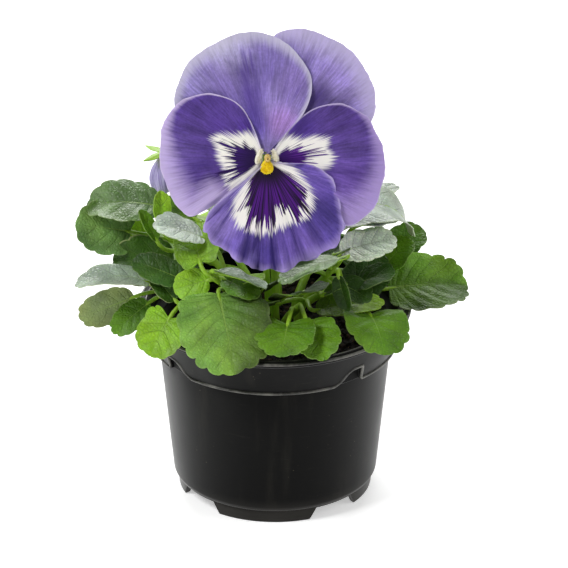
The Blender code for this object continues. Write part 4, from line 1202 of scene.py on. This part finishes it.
def build_pistil(paints):
    """The round stigma with its small mouth, above the pad."""
    place = flower_matrix() @ Matrix.Translation((0.2, 1.0, 2.7))
    shape = Shape()
    levels = 26
    rings = []
    for k in range(1, levels):
        ring = []
        for around in turns(36):
            ball = on_ball(math.pi * k / levels, around).xzy
            mouth = math.exp(-((ball.x - 0.2) ** 2 + (ball.y + 0.25) ** 2) / 0.08) if ball.z > 0 else 0.0
            lumps = 1 + 0.05 * noise.noise(ball * 3.0)
            spot = Vector((ball.x * 1.2, ball.y * 1.5, ball.z * 1.1)) * lumps * (1 - 0.32 * mouth)
            ring.append(shape.point(place @ spot, {"mouth": mouth}))
        rings.append(ring)
    shape.loft(rings)
    return ride(shape.piece("stigma_fine", paints, {"mouth": ("FLOAT", 0.0)}), "stigma", "pistil")


def add_sepal(shape, place, angle, length=13.0, width=4.4, lean=12.0, start=1.2):
    """One pointed sepal from the receptacle outwards."""
    turn = place @ Matrix.Rotation(math.radians(angle), 4, "Z")
    turn = turn @ Matrix.Translation((0, start, 0)) @ Matrix.Rotation(math.radians(-lean), 4, "X")
    shaped = Leaf("fresh", 0, (0, 0, 0), 90, 0, 0, length, width, 6, 10, 1)
    grid, values = [], []
    for i in range(17):
        share = i / 16
        half = 0.5 * width * math.sin(math.pi * (0.25 + 0.74 * share))
        grid.append([turn @ blade_point(shaped, half * j / 5, length * share) for j in range(-5, 6)])
        values.append([{"across": j / 5, "along": share} for j in range(-5, 6)])
    add_skin(shape, grid, values, 0.2, 0, 0)


def add_knob(shape, place, profile, sides):
    """A turned swelling round the place's Z axis, from pairs of height and radius."""
    points = [place @ Vector((0, 0, z)) for z, _ in profile]
    add_tube(shape, points, [radius for _, radius in profile], sides)


def build_flower_stalk(paints):
    """The bloom's stalk with its crook, receptacle and sepals."""
    place = flower_matrix() @ Matrix.Translation((0, 0.6, 0))
    receptacle = place @ Vector((0, 0, -8.2))
    foot, collar = stem_foot(0, 0)
    crook = receptacle + Vector((0.5, 6.5, -3.0))
    rise = bezier(collar, Vector((0.5, 1, 95)), crook + Vector((0, 3.0, -22)), crook, 30)
    hook = bezier(crook, crook + Vector((0, -0.9, 4.5)), place @ Vector((0, 1.0, -12)), receptacle, 14)
    points = [foot] + rise + hook[1:]
    shape = Shape()
    radii = [STEM_RADIUS] * 2 + [STEM_RADIUS * 0.85] * (len(points) - 2)
    add_tube(shape, points, radii, 16)
    add_knob(shape, place, RECEPTACLE_PROFILE, 20)
    for angle in (0, 60, 122, 238, 300):
        add_sepal(shape, place @ Matrix.Translation((0, 0, -7.3)), angle)
    return ride(shape.piece("bloom_stalk", paints, LEAF_FIELDS), "stalk_green", "flower_stalk")


# Bud

BUD_PLACE = Vector((-40.0, 19.0, 122.8))
BUD_TURN = (185.0, -6.0)
BUD_PROFILE = [
    (-0.3, 0.6), (0.0, 1.3), (2.8, 2.9), (6.6, 4.3), (10.5, 4.6), (14.0, 3.4), (16.0, 1.4), (16.5, 0.4),
]
BUD_CUP_PROFILE = [(-4.2, 1.1), (-3.4, 1.7), (-2.4, 2.15), (-1.4, 2.2), (-0.6, 1.9)]


def bud_matrix():
    """The bud's axes: Z from its calyx to its tip."""
    lean, away = (math.radians(angle) for angle in BUD_TURN)
    turn = Matrix.Rotation(lean, 4, "Y") @ Matrix.Rotation(away, 4, "X")
    return Matrix.Translation(BUD_PLACE) @ turn


def build_bud_petals(paints):
    """Petals rolled round each other: four spiral folds, sharper than in the part."""
    place = bud_matrix()
    shape = Shape()
    rings = []
    for height, radius in open_spline(BUD_PROFILE, 7):
        ring = []
        for around in turns(72):
            spin = 4 * around + 0.16 * height
            ridge = 0.13 * math.sin(spin) + 0.05 * math.sin(2 * spin + 0.9)
            fine = 0.02 * noise.noise(Vector((around * 9, height * 0.2, 2)))
            point = polar(max(radius, 0.3) * (1 + ridge + fine), around, height)
            values = {"turn": around + 0.05 * height, "along": height / BUD_PROFILE[-1][0]}
            ring.append(shape.point(place @ point, values))
        rings.append(ring)
    shape.loft(rings)
    fields = {"turn": ("FLOAT", 0.0), "along": ("FLOAT", 0.5)}
    return ride(shape.piece("bud_fine", paints, fields), "petal_violet", "bud_petals")


def build_bud_stalk(paints):
    """The bud's crooked stalk with its cup and sepals."""
    place = bud_matrix()
    foot, collar = stem_foot(-2.5, 4.0)
    crown = BUD_PLACE + Vector((7.5, 0.5, 7.0))
    rise = bezier(collar, collar + Vector((0, 0, 52)), crown + Vector((14, -2, -3)), crown, 26)
    bend = crown + Vector((-4, 0, 0.9))
    hook = bezier(crown, bend, place @ Vector((0, 0, -6)), place @ Vector((0, 0, -1.2)), 12)
    points = [foot] + rise + hook[1:]
    shape = Shape()
    add_tube(shape, points, [1.35] * 2 + [1.2] * (len(points) - 2), 14)
    add_knob(shape, place, BUD_CUP_PROFILE, 18)
    for angle in (20, 92, 164, 236, 308):
        add_sepal(shape, place @ Matrix.Translation((0, 0, -1.6)), angle, 8.5, 3.2, -14.0, 1.2)
    return ride(shape.piece("bud_stem", paints, LEAF_FIELDS), "stalk_green", "bud_stalk")


# Pot: the part's shape with rounded edges and more sides

RIM_RADIUS = 50.0
POT_HEIGHT = 72.2
LIP_INNER_RADIUS = 47.0
COLLAR_FOOT_Z = 57.0
COLLAR_FOOT_RADIUS = 44.1
WALL = 1.1
WALL_TOP_RADIUS = 42.5
WALL_FOOT_RADIUS = 37.3
FOOT_HEIGHT = 5.4
FOOT_RADIUS = 35.5
FOOT_WIDTH = 2.2
FLOOR_TOP_Z = 5.9
FLOOR_UNDER_Z = 4.6
FEATURE_TURN = -7.0
FOOT_GAP_ANGLE = 26.0
NOTCH_HEIGHT = 6.5
NOTCH_OFFSET = 46.0
NOTCH_LINE = [(-8.0, 0.0), (-6.2, 0.8), (-4.6, 2.4), (-3.2, 4.8), (-1.4, 6.2), (3.3, 6.5), (4.4, 0.0)]
DRAIN_RADIUS = 3.6
DRAIN_RING_RADIUS = 27.0
POT_SIDES = 168


def wall_radius(z):
    """Outer radius of the straight wall at a height."""
    share = (z - FOOT_HEIGHT) / (COLLAR_FOOT_Z - FOOT_HEIGHT)
    return WALL_FOOT_RADIUS + share * (WALL_TOP_RADIUS - WALL_FOOT_RADIUS)


def pot_profile():
    """Radius and height from the floor's top up the inner side, over the lip and down to the foot."""
    inner_foot = wall_radius(FLOOR_TOP_Z) - WALL
    inner_step_z = COLLAR_FOOT_Z + NOTCH_HEIGHT + 1.2
    return [
        (0, FLOOR_TOP_Z),
        (inner_foot - 1.0, FLOOR_TOP_Z),
        (inner_foot, FLOOR_TOP_Z + 1.0),
        (wall_radius(inner_step_z) - WALL, inner_step_z),
        (LIP_INNER_RADIUS - 1.2, inner_step_z + 1.0),
        (LIP_INNER_RADIUS - 0.2, POT_HEIGHT - 1.2),
        (LIP_INNER_RADIUS, POT_HEIGHT),
        (RIM_RADIUS - 0.9, POT_HEIGHT - 0.1),
        (RIM_RADIUS, POT_HEIGHT - 0.7),
        (RIM_RADIUS, POT_HEIGHT - 1.6),
        (RIM_RADIUS - 1.0, POT_HEIGHT - 2.0),
        (COLLAR_FOOT_RADIUS + 0.4, COLLAR_FOOT_Z + 1.0),
        (COLLAR_FOOT_RADIUS - 0.3, COLLAR_FOOT_Z),
        (WALL_TOP_RADIUS, COLLAR_FOOT_Z),
        (wall_radius(FOOT_HEIGHT + 1.4), FOOT_HEIGHT + 1.4),
        (WALL_FOOT_RADIUS - 0.6, FOOT_HEIGHT),
        (FOOT_RADIUS + 0.4, FOOT_HEIGHT - 0.2),
        (FOOT_RADIUS, 0),
        (FOOT_RADIUS - FOOT_WIDTH, 0),
        (FOOT_RADIUS - FOOT_WIDTH, FLOOR_UNDER_Z),
        (0, FLOOR_UNDER_Z),
    ]


def rounded(profile, reach, steps=3):
    """The profile with each corner between its ends rounded."""
    line = [Vector(profile[0])]
    for before, corner, after in zip(profile, profile[1:], profile[2:]):
        corner = Vector(corner)
        back, ahead = Vector(before) - corner, Vector(after) - corner
        start = corner + back.normalized() * min(reach, 0.4 * back.length)
        stop = corner + ahead.normalized() * min(reach, 0.4 * ahead.length)
        for i in range(steps + 1):
            t = i / steps
            line.append(start * (1 - t) ** 2 + corner * 2 * t * (1 - t) + stop * t * t)
    return line + [Vector(profile[-1])]


def cutter(name, corners, faces, matrix, group):
    """A closed solid in millimetres, placed by a matrix, to be cut away."""
    mesh = bpy.data.meshes.new(name)
    mesh.from_pydata([tuple(matrix @ (Vector(corner) * MM)) for corner in corners], [], faces)
    plain_object(name, mesh, group)


def prism(outline, low, high):
    """Corners and faces of a straight solid over an outline, from one height to another."""
    count = len(outline)
    corners = [(x, y, low) for x, y in outline] + [(x, y, high) for x, y in outline]
    faces = [tuple(reversed(range(count))), tuple(range(count, 2 * count))]
    faces += [(i, (i + 1) % count, (i + 1) % count + count, i + count) for i in range(count)]
    return corners, faces


def foot_gap(angle, group):
    """A four-sided frustum that opens the foot ring, wider at the surface than at the wall."""
    half_top = FOOT_RADIUS * math.sin(math.radians(FOOT_GAP_ANGLE / 2))
    half_low = half_top + 3.0
    top = FLOOR_UNDER_Z
    corners = []
    for half, z in ((half_low, -1.0), (half_top, top)):
        depth = half / 2
        corners += [(-depth, -half, z), (depth, -half, z), (depth, half, z), (-depth, half, z)]
    faces = [(3, 2, 1, 0), (4, 5, 6, 7), (0, 1, 5, 4), (1, 2, 6, 5), (2, 3, 7, 6), (3, 0, 4, 7)]
    matrix = Matrix.Rotation(math.radians(angle), 4, "Z") @ Matrix.Translation((FOOT_RADIUS * MM, 0, 0))
    cutter("foot_gap", corners, faces, matrix, group)


def notch(angle, side, group):
    """A prism that raises the collar's lower edge, steep on one side and S-shaped on the other."""
    foot = -1.5
    outline = [(NOTCH_LINE[0][0], foot), *NOTCH_LINE, (NOTCH_LINE[-1][0], foot)]
    outline = [(side * across, up) for across, up in outline]
    if side > 0:
        outline.reverse()
    corners, faces = prism(outline, -6.0, 6.0)
    taper = math.atan2(WALL_TOP_RADIUS - WALL_FOOT_RADIUS, COLLAR_FOOT_Z - FOOT_HEIGHT)
    matrix = (
        Matrix.Rotation(math.radians(angle), 4, "Z")
        @ Matrix.Translation(Vector((WALL_TOP_RADIUS + 0.1, 0, COLLAR_FOOT_Z)) * MM)
        @ Matrix.Rotation(taper, 4, "Y")
        @ Matrix.Translation(Vector((6.0, 0, 0)) * MM)
        @ Matrix.Rotation(math.radians(90), 4, "Z")
        @ Matrix.Rotation(math.radians(90), 4, "X")
    )
    cutter("notch", corners, faces, matrix, group)


def build_pot(material):
    """The pot, turned from its rounded profile, with its notches, foot gaps and drain holes cut."""
    group = bpy.data.collections.new("pot_cutters")
    bpy.context.scene.collection.children.link(group)
    front = -90 + FEATURE_TURN
    ring = [tuple(polar(DRAIN_RADIUS, turn).xy) for turn in turns(32)]
    for quarter in range(4):
        angle = front + 45 + 90 * quarter
        foot_gap(angle, group)
        corners, faces = prism(ring, FLOOR_UNDER_Z - 2, FLOOR_TOP_Z + 2)
        shift = polar(DRAIN_RING_RADIUS * MM, math.radians(angle))
        cutter("drain", corners, faces, Matrix.Translation(shift), group)
    for half_turn in (0, 180):
        notch(front + half_turn + NOTCH_OFFSET, 1, group)
        notch(front + half_turn - NOTCH_OFFSET, -1, group)
    mesh = bpy.data.meshes.new("pot_turned")
    line = [(point.x * MM, 0, point.y * MM) for point in rounded(pot_profile(), 0.5)]
    mesh.from_pydata(line, [(i, i + 1) for i in range(len(line) - 1)], [])
    blank = plain_object("pot_turned", mesh, bpy.context.scene.collection)
    screw = blank.modifiers.new("Screw", "SCREW")
    screw.steps = screw.render_steps = POT_SIDES
    screw.use_merge_vertices = True
    screw.merge_threshold = 0.000001
    cut = blank.modifiers.new("Cut", "BOOLEAN")
    cut.operation = "DIFFERENCE"
    cut.operand_type = "COLLECTION"
    cut.collection = group
    cut.solver = "EXACT"
    bpy.context.view_layer.update()
    graph = bpy.context.evaluated_depsgraph_get()
    mesh = bpy.data.meshes.new_from_object(blank.evaluated_get(graph))
    for obj in [blank, *group.objects]:
        bpy.data.objects.remove(obj, do_unlink=True)
    bpy.data.collections.remove(group)
    mesh.materials.clear()
    mesh.materials.append(material)
    mesh.shade_smooth()
    mesh.set_sharp_from_angle(angle=math.radians(32))
    pot = plain_object("pot_fine", mesh, bpy.context.scene.collection)
    return ride(pot, "pot_plastic", "pot")


def skirt_rise(angle):
    """How far a notch raises the collar's lower edge at an angle."""
    for half_turn in (0, 180):
        for side in (1, -1):
            middle = -90 + FEATURE_TURN + half_turn + side * NOTCH_OFFSET
            off = (angle - middle + 180) % 360 - 180
            across = side * math.radians(off) * COLLAR_FOOT_RADIUS
            for (low, low_up), (high, high_up) in zip(NOTCH_LINE, NOTCH_LINE[1:]):
                if low <= across < high:
                    return low_up + (high_up - low_up) * (across - low) / (high - low)
    return 0.0


def build_pot_beads(paints):
    """The rolled edges of the lip and of the collar's skirt, painted paler than the wall as a highlight."""
    shape = Shape()
    skirt = []
    for i in range(SKIRT_STEPS + 1):
        angle = 360 * i / SKIRT_STEPS
        rise = sum(skirt_rise(angle + 0.35 * k) for k in (-1, 0, 1)) / 3
        reach = COLLAR_FOOT_RADIUS + 0.25 + COLLAR_SLOPE * max(rise + 0.35 - 1.0, 0.0)
        skirt.append(polar(reach, math.radians(angle), COLLAR_FOOT_Z + 0.35 + rise))
    add_tube(shape, skirt, [SKIRT_BEAD] * len(skirt), 10)
    outer = RIM_RADIUS - 0.5, POT_HEIGHT - 0.7, 0.6
    inner = LIP_INNER_RADIUS + 0.4, POT_HEIGHT - 0.3, 0.5
    for reach, up, thick in (outer, inner):
        ring = [polar(reach, TAU * i / 240, up) for i in range(241)]
        add_tube(shape, ring, [thick] * len(ring), 10)
    return ride(shape.piece("pot_edges", paints), "pot_plastic")


# Soil

def soil_height(x, y):
    """Height of the part's soil: a low crown with lumps."""
    crown = SOIL_CROWN * (1 - (math.hypot(x, y) / 41.0) ** 2)
    lumps = noise.noise(Vector((x, y, 3.0)) * 0.14) + 0.6 * noise.noise(Vector((x, y, 9.0)) * 0.4)
    return SOIL_TOP_Z + crown + 0.9 * lumps


CRUMB_TONES = [srgb(24, 18, 13), srgb(34, 25, 18), srgb(46, 34, 24), srgb(16, 12, 9), srgb(68, 50, 34)]
PERLITE_TONE = srgb(160, 154, 142)


def add_crumb(shape, place, size, squash, seed, tone):
    """One broken lump: a coarse ball with each point moved."""
    rings = []
    for k in range(4, 0, -1):
        ring = []
        for around in turns(7, 0.5 * (k % 2)):
            ball = on_ball(math.pi * k / 5, around)
            reach = size * (1 + 0.55 * noise.noise(ball * 1.3 + Vector((seed, 0, 0))))
            ball.z *= squash
            ring.append(shape.point(place + ball * reach, {"tone": tone}))
        rings.append(ring)
    shape.loft(rings)


def build_soil_top(paints):
    """Crumbs, bits of bark, perlite and root hairs that lie on the soil."""
    chance = random.Random(11)
    shape = Shape()
    for i in range(CRUMBS):
        around, out = chance.uniform(0, TAU), (SOIL_RADIUS - 1.5) * math.sqrt(chance.random())
        x, y = out * math.cos(around), out * math.sin(around)
        size = 0.45 + 1.1 * chance.random() ** 2.2
        tone = PERLITE_TONE if i % PERLITE_EVERY == 0 else chance.choice(CRUMB_TONES)
        place = Vector((x, y, soil_height(x, y) + 0.25 * size))
        add_crumb(shape, place, size, 0.55 + 0.35 * chance.random(), i * 1.7, (*tone, 1.0))
    for i in range(FIBRES):
        around, out = chance.uniform(0, TAU), (SOIL_RADIUS - 5) * math.sqrt(chance.random())
        middle = polar(out, around)
        turn, length = chance.uniform(0, TAU), chance.uniform(2.0, 5.0)
        points = []
        for k in range(5):
            point = middle + polar(length * (k / 4 - 0.5), turn + 0.12 * k)
            point.z = soil_height(point.x, point.y) + 0.5 + 0.2 * math.sin(k)
            points.append(point)
        tone = chance.choice(CRUMB_TONES[1:])
        add_tube(shape, points, [0.12, 0.17, 0.18, 0.16, 0.08], 5, 0, {"tone": (*tone, 1.0)})
    fields = {"tone": ("FLOAT_COLOR", (0.05, 0.03, 0.02, 1.0))}
    return ride(shape.piece("soil_crumbs", paints, fields, sharp=35), "potting_soil")


# Studio

def build_floor():
    """A wide pale floor, which glows a little so that it stays white."""
    mesh = bpy.data.meshes.new("studio_floor")
    side, low = 4.0, CAD_BOX[0][2]
    corners = [(-side, -side, low), (side, -side, low), (side, side, low), (-side, side, low)]
    mesh.from_pydata(corners, [], [(0, 1, 2, 3)])
    skin = Skin("studio_white", Roughness=0.85, Emission_Strength=0.46, Emission_Color=(1.0, 1.0, 1.0, 1.0))
    mesh.materials.append(skin.finish(skin.mix(skin.noise(6), (0.93, 0.93, 0.93), (0.95, 0.95, 0.95))))
    plain_object("studio_floor", mesh, bpy.context.scene.collection)


def add_light(name, place, width, height, power):
    """A soft lamp aimed at the plant's middle."""
    data = bpy.data.lights.new(name, "AREA")
    data.shape = "RECTANGLE"
    data.size, data.size_y = width, height
    data.energy = power
    lamp = plain_object(name, data, bpy.context.scene.collection)
    lamp.location = place
    lamp.rotation_euler = (LAMP_AIM - Vector(place)).to_track_quat("-Z", "Y").to_euler()


def build_studio():
    """A white floor, a soft key from the upper left, a fill from the right and one behind."""
    build_floor()
    add_light("key", (-0.85, -0.55, 1.3), 0.45, 0.45, 13.8)
    add_light("fill", (1.1, -0.3, 0.9), 0.7, 0.8, 4.6)
    add_light("behind", (0.0, 1.3, 0.95), 1.3, 0.6, 20.0)
    world = bpy.data.worlds.new("studio_air")
    world.use_nodes = True
    backdrop = world.node_tree.nodes["Background"]
    backdrop.inputs["Color"].default_value = (1.0, 1.0, 1.0, 1.0)
    backdrop.inputs["Strength"].default_value = 0.17
    bpy.context.scene.world = world
    bpy.context.scene.view_settings.view_transform = "Standard"
    bpy.context.scene.view_settings.look = "None"


def build_camera():
    """The photograph's view."""
    data = bpy.data.cameras.new("photo_camera")
    data.sensor_width = SENSOR
    data.lens = SENSOR * FOCAL_PIXELS / PHOTO_SIDE
    data.clip_start, data.clip_end = 0.05, 20.0
    camera = plain_object("photo_camera", data, bpy.context.scene.collection)
    rise = math.radians(VIEW_ELEVATION)
    camera.location = VIEW_AIM + VIEW_DISTANCE * Vector((0, -math.cos(rise), math.sin(rise)))
    camera.rotation_euler = (VIEW_AIM - camera.location).to_track_quat("-Z", "Y").to_euler()
    bpy.context.scene.camera = camera


def repaint(node_name, material):
    """Gives every material slot of a CAD node the finished material."""
    for place in frame["nodes"][node_name].material_slots:
        place.material = material


def main():
    build_pot(pot_paint())
    build_pot_beads([pot_edge_paint()])
    repaint("soil", soil_paint("soil_ground", False))
    build_soil_top([soil_paint("soil_crumb_skin", True)])
    stalk = stalk_paint()
    green = [leaf_paint(name, look) for name, look in LEAF_SKINS.items()] + [stalk]
    for name, (hole, end, leaves) in STEMS.items():
        build_leafy_stem(name, hole, end, leaves, green)
    back = petal_back_paint()
    for name, petal in PETALS.items():
        build_petal(name, petal, back)
    yellow = flat_paint("throat_yellow", srgb(240, 204, 0), srgb(255, 232, 0), 1800, 0.5)
    cream = flat_paint("beard_white", srgb(246, 240, 214), srgb(255, 252, 240), 2500)
    build_throat([yellow, cream])
    build_beards([cream, yellow])
    build_pistil([stigma_paint()])
    build_flower_stalk([stalk])
    build_bud_petals([bud_paint()])
    build_bud_stalk([stalk])
    build_studio()
    build_camera()


main()
